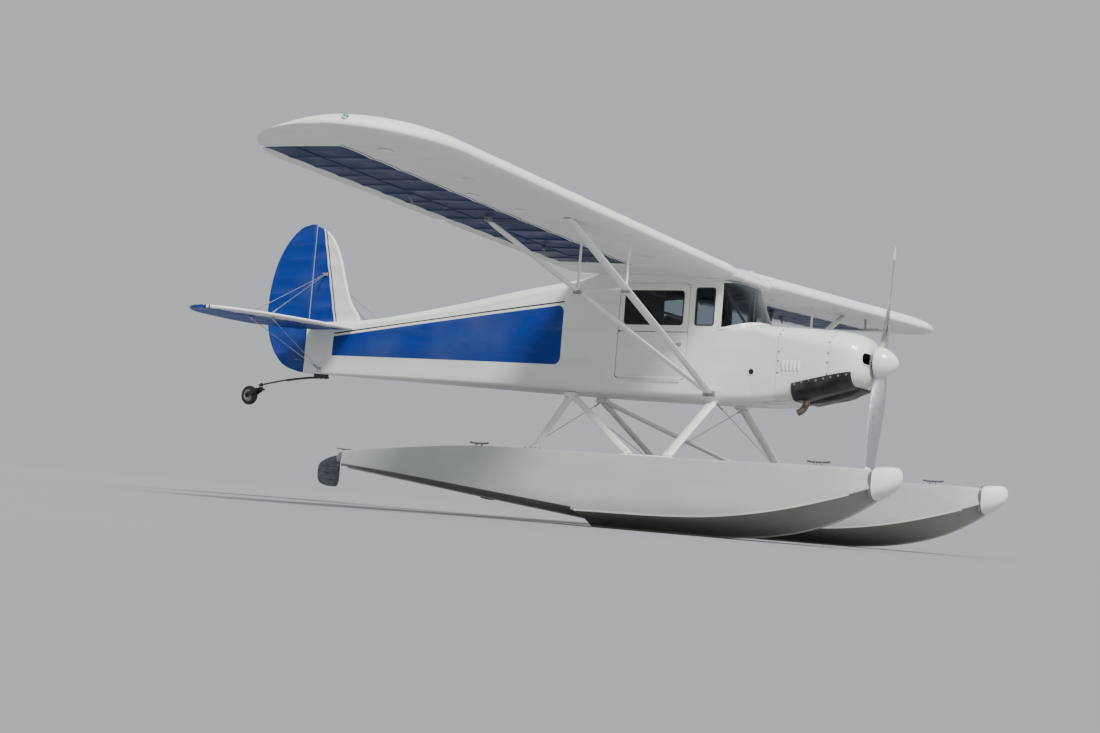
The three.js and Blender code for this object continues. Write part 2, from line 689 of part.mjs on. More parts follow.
function rudder() {
  const [foot, head] = [RUDDER_LOW, RUDDER_HIGH].map((z) => point(RUDDER_HINGE, 0, z));
  const post = cylinder(TAIL_NOSE, foot, head, 20);
  return post.add(plate(RUDDER_OUTLINE, TAIL_THICKNESS, "upright"));
}

function stabilizer(sign) {
  const noseRoom = cylinder(TAIL_NOSE + MOVING_GAP, point(ELEVATOR_HINGE, -2000, TAILPLANE_HEIGHT),
    point(ELEVATOR_HINGE, 2000, TAILPLANE_HEIGHT), 20);
  const half = tailPlate(STABILIZER_OUTLINE, sign);
  const nearSide = block({ stations: [5300, 6400], sides: span(sign, -100, GAP), heights: [1700, 1900] });
  return cut(half, [body(REAR_FRAMES, GAP), noseRoom, nearSide]);
}

function elevator() {
  const halves = SIDES.map(({ sign }) => tailPlate(ELEVATOR_OUTLINE, sign));
  const onHinge = (y) => point(ELEVATOR_HINGE, y, TAILPLANE_HEIGHT);
  const nose = SIDES.map(({ sign }) => {
    return cylinder(TAIL_NOSE, onHinge(sign * ELEVATOR_ROOT), onHinge(sign * STABILIZER_TIP), 20);
  });
  const tube = cylinder(TORQUE_TUBE, onHinge(-ELEVATOR_ROOT - 40), onHinge(ELEVATOR_ROOT + 40), 16);
  return joined([...halves, ...nose, tube]);
}

// Tail stays: a V of rods on each side, from a fitting on the tailplane to the fin or the fuselage.
const STAY_OUT = 1050;
const STAY_FITTINGS = { fore: 5790, aft: 6060 };

function tailStays(sign, upper) {
  const lift = upper ? 1 : -1;
  const face = TAILPLANE_HEIGHT + lift * (TAIL_THICKNESS / 2 + GAP);
  const inner = upper ? { y: 15.8, z: 2310 } : { y: 60, z: 1330 };
  const shoe = [STAY_FITTINGS.fore, STAY_FITTINGS.aft].map((station) => block({
    stations: [station - 16, station + 16],
    sides: span(sign, STAY_OUT - 14, STAY_OUT + 14),
    heights: [Math.min(face, face + lift * 22), Math.max(face, face + lift * 22)],
  }));
  const bar = block({
    stations: [STAY_FITTINGS.fore, STAY_FITTINGS.aft],
    sides: span(sign, STAY_OUT - 14, STAY_OUT + 14),
    heights: [Math.min(face, face + lift * 8), Math.max(face, face + lift * 8)],
  });
  const rods = [STAY_FITTINGS.fore, STAY_FITTINGS.aft].map((station) => rod(5, [
    point(station, sign * STAY_OUT, face + lift * 12),
    point(upper ? 6030 : 5960, sign * inner.y, inner.z),
  ]));
  const wall = upper ? plate(FIN_OUTLINE, TAIL_THICKNESS + 2 * GAP, "upright") : body(REAR_FRAMES, GAP);
  const nearSide = block({ stations: [5300, 6400], sides: span(sign, -200, 12), heights: [1200, 2600] });
  return cut(joined([...shoe, bar, ...rods]), upper ? [wall, nearSide] : [wall]);
}

// Tail wheel

const SWIVEL_STATION = 6755;
const FORK_TOP = 1131;
const TAIL_WHEEL = { station: 6900, height: FORK_TOP - 91, radius: 100, half: 26 };

function tailSpring() {
  const leaf = [
    [5880, 1250], [5880, 1262], [6090, 1257], [6240, 1243], [6400, 1222], [6560, 1194], [6700, 1166],
    [6742, 1159], [SWIVEL_STATION + 28, FORK_TOP + 24], [SWIVEL_STATION + 28, FORK_TOP + 6],
    [6725, 1143], [6690, 1149], [6550, 1177], [6392, 1205], [6234, 1226], [6090, 1240],
  ];
  const rings = [-20, 20].map((y) => leaf.map(([station, z]) => point(station, y, z)));
  const saddle = block({ stations: [5890, 6060], sides: [-24, 24], heights: [1245, 1300] });
  return cut(joined([loft(rings), saddle]), [body(REAR_FRAMES, GAP)]);
}

function tailFork() {
  const crown = cylinder(24, point(SWIVEL_STATION, 0, FORK_TOP), point(SWIVEL_STATION, 0, FORK_TOP - 31), 18);
  const bridge = block({
    stations: [SWIVEL_STATION - 24, SWIVEL_STATION + 34], sides: [-46, 46],
    heights: [FORK_TOP - 33, FORK_TOP - 15],
  });
  const arms = SIDES.map(({ sign }) => {
    const outline = [
      [SWIVEL_STATION - 20, FORK_TOP - 17], [SWIVEL_STATION + 34, FORK_TOP - 17], [6926, FORK_TOP - 77],
      [6922, FORK_TOP - 109], [6884, FORK_TOP - 111],
    ];
    const rings = [sign * 36, sign * 46].map((y) => outline.map(([station, z]) => point(station, y, z)));
    return loft(rings);
  });
  return joined([crown, bridge, ...arms]);
}

function tailWheel() {
  const { station, height, radius, half } = TAIL_WHEEL;
  const profile = [[0, -31], [22, -31], [22, -20], [60, -20], [64, -half], [88, -half], [radius, -12],
    [radius, 12], [88, half], [64, half], [60, 20], [22, 20], [22, 31], [0, 31]];
  const geometry = new THREE.LatheGeometry(profile.map(([r, y]) => new THREE.Vector2(r, y)), 28);
  geometry.translate(at(station), 0, height);
  return solidOf(geometry);
}

// Floats

const FLOAT_STATIONS = [
  { station: -640, keel: 470, chine: 520, deck: 596, beam: 62, top: 50 },
  { station: -545, keel: 375, chine: 468, deck: 606, beam: 150, top: 120 },
  { station: -370, keel: 262, chine: 398, deck: 612, beam: 232, top: 190 },
  { station: -100, keel: 140, chine: 310, deck: 610, beam: 300, top: 250 },
  { station: 270, keel: 46, chine: 222, deck: 604, beam: 345, top: 290 },
  { station: 740, keel: 0, chine: 158, deck: DECK_HEIGHT, beam: 360, top: 302 },
  { station: STEP_STATION, keel: 0, chine: 128, deck: DECK_HEIGHT, beam: 360, top: 302 },
  { station: STEP_STATION + 2, keel: 55, chine: 150, deck: DECK_HEIGHT, beam: 358, top: 302 },
  { station: 3000, keel: 170, chine: 250, deck: DECK_HEIGHT, beam: 300, top: 250 },
  { station: 3850, keel: 264, chine: 325, deck: 545, beam: 205, top: 165 },
  { station: STERN_STATION, keel: 335, chine: 372, deck: 492, beam: 110, top: 88 },
];
const BUMPER_BACK = -545;
const BUMPER_FRONT = -BOW_REACH;

function floatRing({ station, keel, chine, deck, beam, top }, sign) {
  const centre = sign * FLOAT_CENTRE;
  const halfRing = [
    [KEEL_STRIP, keel], [beam, chine], [beam, chine + 30], [top + 12, deck - 14], [top, deck],
  ];
  const left = halfRing.map(([y, z]) => point(station, centre + y, z));
  const right = halfRing.map(([y, z]) => point(station, centre - y, z)).reverse();
  return [...left, ...right];
}

const CLEAT_STATIONS = [-50, 3100];
const besideCentre = (sign, half) => [sign * FLOAT_CENTRE - half, sign * FLOAT_CENTRE + half];

function floatHull(sign) {
  const hull = loft(FLOAT_STATIONS.map((section) => floatRing(section, sign)));
  const nose = block({ stations: [-800, BUMPER_BACK], sides: span(sign, 800, 1900), heights: [100, 800] });
  const cleats = CLEAT_STATIONS.map((station) => {
    const foot = block({
      stations: [station - 40, station + 40], sides: besideCentre(sign, 18), heights: [590, 632],
    });
    const bar = block({
      stations: [station - 95, station + 95], sides: besideCentre(sign, 14), heights: [628, 650],
    });
    return foot.add(bar);
  });
  return joined([cut(hull, [nose]), ...cleats]);
}

function bumper(sign) {
  const steps = [
    { station: BUMPER_BACK - GAP, y: 158, low: 380, high: 632 },
    { station: BUMPER_BACK - 80, y: 130, low: 425, high: 640 },
    { station: BUMPER_BACK - 145, y: 85, low: 480, high: 636 },
    { station: BUMPER_FRONT, y: 38, low: 525, high: 610 },
  ];
  return loft(steps.map(({ station, y, low, high }) => Array.from({ length: 16 }, (_, i) => {
    const angle = (i / 16) * 2 * Math.PI;
    const round = (value) => Math.sign(value) * Math.abs(value) ** (2 / 3);
    return point(station, sign * FLOAT_CENTRE + y * round(Math.cos(angle)),
      (low + high) / 2 + ((high - low) / 2) * round(Math.sin(angle)));
  })));
}

const STRUT_FEET = { front: 1360, rear: 2640 };
const STRUT_HEADS = { front: 1400, rear: 2830 };
const DIAGONAL = { head: 2800, foot: 1700 };
const SPREADERS = [
  { name: "front", station: STRUT_FEET.front, height: 520 },
  { name: "rear", station: STRUT_FEET.rear, height: 510 },
];

function spreaderBar({ station, height }) {
  const bar = strut(point(station, -1200, height), point(station, 1200, height), 80, 34);
  return cut(bar, SIDES.map(({ sign }) => hullEnvelope(sign, GAP)));
}

function hullEnvelope(sign, grow) {
  return loft(FLOAT_STATIONS.map(({ keel, beam, top, deck, ...rest }) => {
    const grown = { ...rest, keel: keel - grow, beam: beam + grow, top: top + grow, deck: deck + grow };
    return floatRing(grown, sign);
  }));
}

// Float struts: front, rear and diagonal on each side, with pads on the deck and fittings under the belly.
const FOOT_SPAN = FLOAT_CENTRE - 140;
const HEAD_SPAN = 290;

function floatStruts(sign) {
  const pad = (front, back) => block({
    stations: [front - 70, back + 70], sides: span(sign, FOOT_SPAN - 45, FOOT_SPAN + 45),
    heights: [DECK_HEIGHT + GAP, DECK_HEIGHT + 26],
  });
  const head = (station) => block({
    stations: [station - 60, station + 60],
    sides: span(sign, HEAD_SPAN - 40, HEAD_SPAN + 40),
    heights: [1138, 1215],
  });
  const leg = (from, to, chord) => {
    const top = point(from, sign * (HEAD_SPAN + 10), 1150);
    const bottom = point(to, sign * (FOOT_SPAN - 12), DECK_HEIGHT + 18);
    return strut(top, bottom, chord, 38);
  };
  const solids = [
    pad(STRUT_FEET.front, DIAGONAL.foot), pad(STRUT_FEET.rear, STRUT_FEET.rear),
    head(STRUT_HEADS.front), head(STRUT_HEADS.rear),
    leg(STRUT_HEADS.front, STRUT_FEET.front, 92),
    leg(STRUT_HEADS.rear, STRUT_FEET.rear, 80),
    leg(DIAGONAL.head, DIAGONAL.foot, 64),
  ];
  const bellies = [DECK_FRAMES, CABIN_FRAMES, REAR_FRAMES].map((frames) => body(frames, GAP));
  return cut(joined(solids), [...bellies, hullEnvelope(sign, GAP)]);
}

// Wing struts: a V from the lower longeron to the spars, with short jury struts.
const LIFT_FOOT = { station: 1395, y: HALF_WIDTH + 12, z: 1222 };
const SPARS = { front: LEADING_STATION + 270, rear: LEADING_STATION + 1040 };
const LIFT_OUT = { front: 2760, rear: 2680 };
const JURY_SHARE = 0.62;

function wingStruts(sign, wing) {
  const foot = point(LIFT_FOOT.station, sign * (LIFT_FOOT.y + 12), LIFT_FOOT.z);
  const head = (name) => point(SPARS[name], sign * LIFT_OUT[name], wingHeight(LIFT_OUT[name]) + 20);
  const onStrut = (name) => foot.clone().lerp(head(name), JURY_SHARE);
  const jury = (name) => {
    const low = onStrut(name);
    return rod(13, [low, new THREE.Vector3(low.x, low.y, CHORD_HEIGHT + 60)], 10);
  };
  const fitting = block({
    stations: [LIFT_FOOT.station - 45, LIFT_FOOT.station + 70],
    sides: span(sign, HALF_WIDTH - 30, LIFT_FOOT.y + 34),
    heights: [LIFT_FOOT.z - 32, LIFT_FOOT.z + 36],
  });
  const solids = [
    fitting,
    strut(foot, head("front"), 92, 42),
    strut(foot, head("rear"), 72, 34),
    jury("front"), jury("rear"),
    rod(11, [onStrut("front"), onStrut("rear")], 10),
  ];
  const wingBelow = wing.translate([0, 0, -GAP]);
  return cut(joined(solids), [wing, wingBelow, body(DECK_FRAMES, GAP), body(CABIN_FRAMES, GAP)]);
}

// Water rudders: a steering post on the stern and a blade that lifts on it.
const POST_AXIS = STERN_STATION + 60;
const BLADE_PIVOT = { station: POST_AXIS + 45, height: 420 };
const POST_HALF = 16;

function sternBracket(sign) {
  return block({
    stations: [STERN_STATION - 4, POST_AXIS + 12], sides: besideCentre(sign, 14), heights: [352, 380],
  });
}

function rudderPost(sign) {
  const centre = sign * FLOAT_CENTRE;
  const post = cylinder(POST_HALF, point(POST_AXIS, centre, 381), point(POST_AXIS, centre, 506), 16);
  const cheeks = [-1, 1].map((side) => block({
    stations: [POST_AXIS - 4, BLADE_PIVOT.station + 26],
    sides: [centre + side * 14 - 5, centre + side * 14 + 5],
    heights: [BLADE_PIVOT.height - 30, BLADE_PIVOT.height + 60],
  }));
  const tiller = block({
    stations: [POST_AXIS - 14, POST_AXIS + 14], sides: [centre - 95, centre + 95], heights: [498, 512],
  });
  return joined([post, ...cheeks, tiller]);
}

function rudderBlade(sign) {
  const centre = sign * FLOAT_CENTRE;
  const { station, height } = BLADE_PIVOT;
  const outline = [
    [-6, 14], [55, 20], [205, -40], [240, -130], [205, -235], [50, -262], [-10, -225], [-12, -30],
  ];
  const rings = [-3.5, 3.5].map((side) => {
    return outline.map(([aft, up]) => point(station + aft, centre + side, height + up));
  });
  return loft(rings);
}

// Assembly

place("nose_bowl", noseBowl(), WHITE);
place("cowling", cowling(), WHITE);
place("boot_cowl", bootCowl(), WHITE);
place("engine_block", engineBlock(), STEEL);
place("chin_scoop", chinScoop(), BLACK);
place("exhaust_stack", exhaustStack(), STEEL);
place("propeller", propeller(), STEEL);
place("spinner", spinner(), WHITE);

place("cabin_shell", cabinShell(), WHITE);
place("windscreen", windscreen(), GLASS);
place("skylight", skylight(), GLASS);
place("window_quarter_starboard", pane(QUARTER_WINDOW, -1), GLASS);
place("window_quarter_port", pane(QUARTER_WINDOW, 1), GLASS);
place("window_side_port", pane(PORT_WINDOW, 1), GLASS);
place("door_upper", cut(doorLeaf(DOOR.split - DOOR_GAP, HEADER_HEIGHT),
  [sidePanel(DOOR_WINDOW, STARBOARD_WALL)]), WHITE);
place("door_window", pane(DOOR_WINDOW, -1), GLASS);
place("door_lower", doorLeaf(SILL_HEIGHT, DOOR.split), WHITE);
place("instrument_panel", instrumentPanel(), BLACK);
place("cabin_floor", cabinFloor(), WOOD);
place("seat_front", seat(1530, 1500), LEATHER);
place("seat_rear", seat(2290, 1480), LEATHER);
place("control_stick_front", controlStick(1440), STEEL);
place("control_stick_rear", controlStick(2170), STEEL);

place("rear_fuselage", rearFuselage(), WHITE);
place("fin", fin(), WHITE);
place("rudder", rudder(), BLUE);
place("elevator", elevator(), BLUE);
place("tail_spring", tailSpring(), BLACK);
place("tail_fork", tailFork(), STEEL);
place("tail_wheel", tailWheel(), BLACK);

for (const { word, sign } of SIDES) {
  const whole = loft(wingRings(sign));
  const wing = wingWithCoves(sign, whole);
  place(`wing_${word}`, wing, WHITE);
  place(`flap_${word}`, wingSurface(sign, whole, FLAP_SPAN), BLUE);
  place(`aileron_${word}`, wingSurface(sign, whole, AILERON_SPAN), BLUE);
  place(`wing_struts_${word}`, wingStruts(sign, wing), WHITE);
  place(`stabilizer_${word}`, stabilizer(sign), BLUE);
  place(`tail_stays_upper_${word}`, tailStays(sign, true), STEEL);
  place(`tail_stays_lower_${word}`, tailStays(sign, false), STEEL);
  place(`float_${word}`, floatHull(sign).add(sternBracket(sign)), SILVER);
  place(`bumper_${word}`, bumper(sign), WHITE);
  place(`float_struts_${word}`, floatStruts(sign), WHITE);
  place(`water_rudder_post_${word}`, rudderPost(sign), STEEL);
  place(`water_rudder_blade_${word}`, rudderBlade(sign), BLACK);
}
for (const bar of SPREADERS) place(`spreader_${bar.name}`, spreaderBar(bar), STEEL);

export default plane;
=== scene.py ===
from math import asin, copysign, cos, exp, pi, radians, sin, sqrt, tan

import bmesh
import bpy
from mathutils import Matrix, Vector
from mathutils.bvhtree import BVHTree


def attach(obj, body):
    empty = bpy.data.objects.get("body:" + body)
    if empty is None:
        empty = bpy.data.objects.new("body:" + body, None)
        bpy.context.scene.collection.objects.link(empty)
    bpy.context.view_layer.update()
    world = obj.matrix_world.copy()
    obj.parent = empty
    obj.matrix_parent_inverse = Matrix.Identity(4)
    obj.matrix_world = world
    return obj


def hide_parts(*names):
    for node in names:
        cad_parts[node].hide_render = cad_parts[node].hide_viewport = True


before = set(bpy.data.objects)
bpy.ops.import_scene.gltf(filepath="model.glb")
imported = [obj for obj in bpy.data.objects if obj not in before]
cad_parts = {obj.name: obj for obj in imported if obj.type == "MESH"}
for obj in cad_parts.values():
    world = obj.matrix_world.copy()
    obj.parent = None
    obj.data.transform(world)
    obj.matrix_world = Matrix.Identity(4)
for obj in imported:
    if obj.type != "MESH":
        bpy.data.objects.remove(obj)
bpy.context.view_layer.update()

# The viewpoint, low on the floor ahead of the right wing tip, looking up under the near wing.
# The photograph was taken from far off with a long lens, held a little askew.
VIEW_AZIMUTH = radians(31.7)
VIEW_ROLL = radians(4.7)
VIEW_DISTANCE = 16.0
CAMERA_HEIGHT = 0.12
LENS_MM = 58
AIM = Vector((0.15, -0.45, 1.4))

eye = AIM + VIEW_DISTANCE * Vector((sin(VIEW_AZIMUTH), -cos(VIEW_AZIMUTH), 0))
eye.z = CAMERA_HEIGHT
camera = bpy.data.objects.new("viewpoint", bpy.data.cameras.new("viewpoint"))
camera.data.lens = LENS_MM
camera.data.clip_end = 400
camera.location = eye
aimed = (AIM - eye).to_track_quat("-Z", "Y").to_matrix()
camera.rotation_euler = (aimed @ Matrix.Rotation(VIEW_ROLL, 3, "Z")).to_euler()
bpy.context.scene.collection.objects.link(camera)
bpy.context.scene.camera = camera

# The studio: a wide soft light from high on the viewpoint's side, two faint ones that lift the shade
# at the front and at the tail, and an even pale surround.
LIGHTS = [
    # name, direction it comes from, strength, spread in degrees
    ("key_light", (6.0, -4.5, 8.5), 4.9, 18),
    ("front_fill", (12.0, -8.0, 2.0), 0.45, 70),
    ("tail_fill", (-10.0, 7.0, 5.0), 0.35, 70),
]
SURROUND = (0.88, 0.92, 0.98)
SURROUND_STRENGTH = 0.58

for name, source, strength, spread in LIGHTS:
    lamp = bpy.data.objects.new(name, bpy.data.lights.new(name, "SUN"))
    lamp.data.energy = strength
    lamp.data.angle = radians(spread)
    lamp.location = source
    lamp.rotation_euler = (-Vector(source)).to_track_quat("-Z", "Y").to_euler()
    bpy.context.scene.collection.objects.link(lamp)

world = bpy.data.worlds.new("surround")
world.use_nodes = True
world.node_tree.nodes["Background"].inputs["Color"].default_value = (*SURROUND, 1)
world.node_tree.nodes["Background"].inputs["Strength"].default_value = SURROUND_STRENGTH
bpy.context.scene.world = world


# Node work that every finish uses: a new finish, sums, colour mixes, speckle and relief, all laid
# out in the aircraft's own coordinates so that a paint line keeps its place on every piece.
EDGE_SOFT = 0.0015


def new_finish(name, roughness, metallic=0.0):
    finish = bpy.data.materials.new(name)
    finish.use_nodes = True
    shader = finish.node_tree.nodes["Principled BSDF"]
    shader.inputs["Roughness"].default_value = roughness
    shader.inputs["Metallic"].default_value = metallic
    return finish, finish.node_tree, shader


def feed(socket, value):
    if isinstance(value, bpy.types.NodeSocket):
        socket.id_data.links.new(value, socket)
    elif isinstance(value, tuple):
        socket.default_value = (*value, 1) if len(socket.default_value) == 4 else value
    else:
        socket.default_value = value


def calc(operation, *values):
    """A sum on values, of which one at least is another node's."""
    nodes = next(value.id_data.nodes for value in values if isinstance(value, bpy.types.NodeSocket))
    step = nodes.new("ShaderNodeMath")
    step.operation = operation
    for socket, value in zip(step.inputs, values):
        feed(socket, value)
    return step.outputs[0]


def less(value, taken):
    return calc("SUBTRACT", value, taken)


def mixed(mask, under, over):
    blend = mask.id_data.nodes.new("ShaderNodeMix")
    blend.data_type = "RGBA"
    for index, value in ((0, mask), (6, under), (7, over)):
        feed(blend.inputs[index], value)
    return blend.outputs[2]


def axes_of(tree):
    """The aircraft's x, y and z at the shaded point."""
    place = tree.nodes.new("ShaderNodeTexCoord").outputs["Object"]
    split = tree.nodes.new("ShaderNodeSeparateXYZ")
    tree.links.new(place, split.inputs[0])
    return split.outputs[0], split.outputs[1], split.outputs[2]


def speckle(tree, scale, detail=3.0, stretch=(1, 1, 1)):
    """Soft noise from 0 to 1, of the given number of patches to the metre."""
    turn = tree.nodes.new("ShaderNodeMapping")
    turn.inputs["Scale"].default_value = stretch
    tree.links.new(tree.nodes.new("ShaderNodeTexCoord").outputs["Object"], turn.inputs[0])
    noise = tree.nodes.new("ShaderNodeTexNoise")
    noise.inputs["Scale"].default_value = scale
    noise.inputs["Detail"].default_value = detail
    tree.links.new(turn.outputs[0], noise.inputs["Vector"])
    return noise.outputs[0]


def ramp(value, low, high, start=0.0, end=1.0):
    """A value read from low to high and clamped between start and end."""
    reading = value.id_data.nodes.new("ShaderNodeMapRange")
    for index, given in enumerate((value, low, high, start, end)):
        feed(reading.inputs[index], given)
    return reading.outputs[0]


def above(value, edge=0.0):
    """One where a value is over an edge, zero under it."""
    return ramp(value, edge - EDGE_SOFT, edge + EDGE_SOFT)


def both(*masks):
    result = masks[0]
    for mask in masks[1:]:
        result = calc("MULTIPLY", result, mask)
    return result


def relief(shader, height, depth, under=None):
    """Surface relief of the given depth in metres, over the relief given as under."""
    bump = shader.id_data.nodes.new("ShaderNodeBump")
    bump.inputs["Distance"].default_value = depth
    feed(bump.inputs["Height"], height)
    if under:
        feed(bump.inputs["Normal"], under)
    feed(shader.inputs["Normal"], bump.outputs[0])
    return bump.outputs[0]


def coloured(shader, colour):
    feed(shader.inputs["Base Color"], colour)


def glossed(shader, scale, least, most):
    """Roughness that wanders between two values in patches."""
    patches = speckle(shader.id_data, scale)
    feed(shader.inputs["Roughness"], ramp(patches, 0.3, 0.7, least, most))


def clouded(name, roughness, patches, first, second, grain=None):
    """A finish of two close colours in patches; grain is the scale, detail and depth of its relief."""
    finish, tree, shader = new_finish(name, roughness)
    coloured(shader, mixed(speckle(tree, *patches), first, second))
    if grain:
        scale, detail, depth = grain
        relief(shader, speckle(tree, scale, detail), depth)
    return finish


# The floor, a plain pale painted slab, faintly clouded.
FLOOR_HALF = 150
FLOOR_COLOUR = (0.26, 0.27, 0.28)

floor_paint = clouded("studio_floor", 0.75, (0.6,), FLOOR_COLOUR, tuple(c * 1.06 for c in FLOOR_COLOUR))
mesh = bpy.data.meshes.new("floor")
mesh.from_pydata([(x * FLOOR_HALF, y * FLOOR_HALF, 0) for x, y in ((-1, -1), (1, -1), (1, 1), (-1, 1))],
                 [], [(0, 1, 2, 3)])
mesh.materials.append(floor_paint)
floor = bpy.data.objects.new("floor", mesh)
bpy.context.scene.collection.objects.link(floor)

# Rear fuselage: doped fabric over welded tube, with light stringers under the cloth. The cloth sinks
# a little between them, the belly is flat, and the deck behind the cabin falls to the tail post.
# A royal blue wedge is painted along each side, with a thin dark line over it.
HUB_X = 3.135
CABIN_FRAMES = [
    # station, half width, bottom, shoulder, crown, corner radius
    (1.370, 0.358, 1.162, 2.318, 2.352, 0.060),
    (1.620, 0.358, 1.165, 2.378, 2.410, 0.060),
    (2.050, 0.358, 1.172, 2.374, 2.408, 0.060),
    (2.480, 0.358, 1.180, 2.290, 2.342, 0.060),
    (2.840, 0.352, 1.190, 2.110, 2.258, 0.060),
]
REAR_FRAMES = [
    CABIN_FRAMES[-1],
    (3.450, 0.316, 1.208, 1.985, 2.168, 0.045),
    (4.360, 0.236, 1.238, 1.850, 2.002, 0.035),
    (5.400, 0.124, 1.270, 1.755, 1.850, 0.025),
    (6.190, 0.032, 1.295, 1.785, 1.812, 0.014),
]
ARCH_ROUND = 2.3
ARCH_POWER = 2 / ARCH_ROUND
ARCH_STEPS = 40
DECK_STRINGERS = 8
DECK_SAG, BELLY_SAG = 0.003, 0.006
SIDE_STRINGER = 0.009
SIDE_BULGE = (-0.35, -0.4, 0.2, 1.0, 0.2, -0.4, -0.35, 0.0)
TAUT_FROM, TAUT_TO = 2.86, 6.19
WEAVE_PITCH = 0.0011
WHITE_DOPE = (0.83, 0.82, 0.775)
SOIL = (0.30, 0.29, 0.26)
ROYAL_BLUE = (0.002, 0.034, 0.25)
PANEL_BLUE = (0.001, 0.013, 0.08)
PIN_BLACK = (0.012, 0.013, 0.02)
WEDGE_FRONT, WEDGE_BACK = 2.95, 5.80
WEDGE_TOP = (1.98, 1.67)
WEDGE_LOW = (1.43, 1.475)
WEDGE_CORNER = 0.07
PIN_GAP, PIN_WIDTH = 0.022, 0.014


def at(station, y, z):
    """A point that is the given distance aft of the propeller."""
    return Vector((HUB_X - station, y, z))


def faired(table, station):
    """A row of a table of sections, read smoothly at a station between its rows."""
    stations = [row[0] for row in table]
    last = len(table) - 1
    i = max(0, min(last - 1, sum(s <= station for s in stations) - 1))
    before, after = table[i], table[i + 1]
    run = after[0] - before[0]
    t = (station - before[0]) / run
    values = []
    for column in range(1, len(before)):
        steep = (after[column] - before[column]) / run
        slope = [steep, steep]
        if i > 0:
            slope[0] = (steep + (before[column] - table[i - 1][column]) / (before[0] - stations[i - 1])) / 2
        if i < last - 1:
            slope[1] = (steep + (table[i + 2][column] - after[column]) / (stations[i + 2] - after[0])) / 2
        values.append(
            (2 * t**3 - 3 * t**2 + 1) * before[column] + (t**3 - 2 * t**2 + t) * run * slope[0]
            + (3 * t**2 - 2 * t**3) * after[column] + (t**3 - t**2) * run * slope[1])
    return values


def spaced(start, end, count):
    return [start + (end - start) * i / count for i in range(count + 1)]


def held(value, low=0.0, high=1.0):
    return min(high, max(low, value))


def arch(angle, half, shoulder, crown):
    """The (y, z) pair on an arched top at an angle, from the left side over to the right."""
    across = copysign(abs(cos(angle)) ** ARCH_POWER, cos(angle))
    return half * across, shoulder + (crown - shoulder) * sin(angle) ** ARCH_POWER


def belly_corner(half, bottom, corner, grow=0.0):
    """The (y, z) pairs round the lower corner of a section, from its side to its belly."""
    radius = corner + grow
    return [(half - corner + radius * cos(angle), bottom + corner - radius * sin(angle))
            for angle in spaced(0.0, pi / 2, 6)]


def both_sides(station, pairs):
    """Points down the right side from (y, z) pairs, then back up along the left one."""
    return [at(station, -y, z) for y, z in pairs] + [at(station, y, z) for y, z in reversed(pairs)]


def hull_ring(station, half, bottom, shoulder, crown, corner, grow=0.0):
    """A section of the fuselage: an arched top, straight sides and a flat belly with round corners."""
    top = [at(station, *arch(angle, half + grow, shoulder, crown + grow))
           for angle in spaced(0.0, pi, ARCH_STEPS)]
    return top + both_sides(station, belly_corner(half, bottom, corner, grow))


def closed_mesh(name, points, faces, merged=False):
    """A mesh with its faces turned outward, and its doubled points merged where asked."""
    mesh = bpy.data.meshes.new(name)
    mesh.from_pydata([tuple(point) for point in points], [], faces)
    work = bmesh.new()
    work.from_mesh(mesh)
    if merged:
        bmesh.ops.remove_doubles(work, verts=work.verts, dist=1e-5)
        bmesh.ops.dissolve_degenerate(work, edges=work.edges, dist=1e-6)
    bmesh.ops.recalc_face_normals(work, faces=work.faces)
    work.to_mesh(mesh)
    work.free()
    return mesh


def piece(name, points, faces, finish, body="airframe", *, slot, crease=35, replaces=()):
    """One closed mesh with smooth faces and creased edges, riding on a body."""
    mesh = closed_mesh(name, points, faces, merged=True)
    mesh.materials.append(finish)
    mesh.shade_smooth()
    mesh.set_sharp_from_angle(angle=radians(crease))
    made = bpy.data.objects.new(name, mesh)
    bpy.context.scene.collection.objects.link(made)
    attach(made, body)
    if replaces:
        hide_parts(*replaces)
    return made


def skinned(rings, looped=False):
    """The points and faces of a closed skin through rings of equal count."""
    count = len(rings[0])
    faces = []
    for row in range(len(rings) if looped else len(rings) - 1):
        low, high = row * count, (row + 1) % len(rings) * count
        for i in range(count):
            j = (i + 1) % count
            faces.append((low + i, low + j, high + j, high + i))
    if not looped:
        last = (len(rings) - 1) * count
        faces += [tuple(reversed(range(count))), tuple(range(last, last + count))]
    return [point for ring in rings for point in ring], faces


def loft(name, rings, finish, body="airframe", **ways):
    points, faces = skinned(rings)
    return piece(name, points, faces, finish, body, **ways)


def doped_cloth(name):
    """Fabric under several coats of dope: a faint weave, brushed and slightly uneven, half gloss."""
    finish, tree, shader = new_finish(name, 0.4)
    shader.inputs["Specular IOR Level"].default_value = 0.20
    shader.inputs["Coat Weight"].default_value = 0.03
    shader.inputs["Coat Roughness"].default_value = 0.25
    x, y, z = axes_of(tree)
    thread = 2 * pi / WEAVE_PITCH
    weave = both(calc("SINE", calc("MULTIPLY", x, thread)),
                 calc("SINE", calc("MULTIPLY", calc("ADD", y, z), thread)))
    under = relief(shader, weave, 0.00006)
    relief(shader, speckle(tree, 9.0), 0.0012, under)
    glossed(shader, 5.0, 0.38, 0.54)
    return finish, tree, shader


def weathered(tree, colour, most=0.16):
    """The colour with faint cloudy soiling, and with darker streaks along the airflow."""
    clouds = ramp(speckle(tree, 1.7, 5.0), 0.45, 0.8, 0.0, most)
    streaks = ramp(speckle(tree, 6.0, 4.0, stretch=(0.25, 1.6, 1.6)), 0.52, 0.8, 0.0, most)
    return mixed(calc("MAXIMUM", clouds, streaks), colour, SOIL)


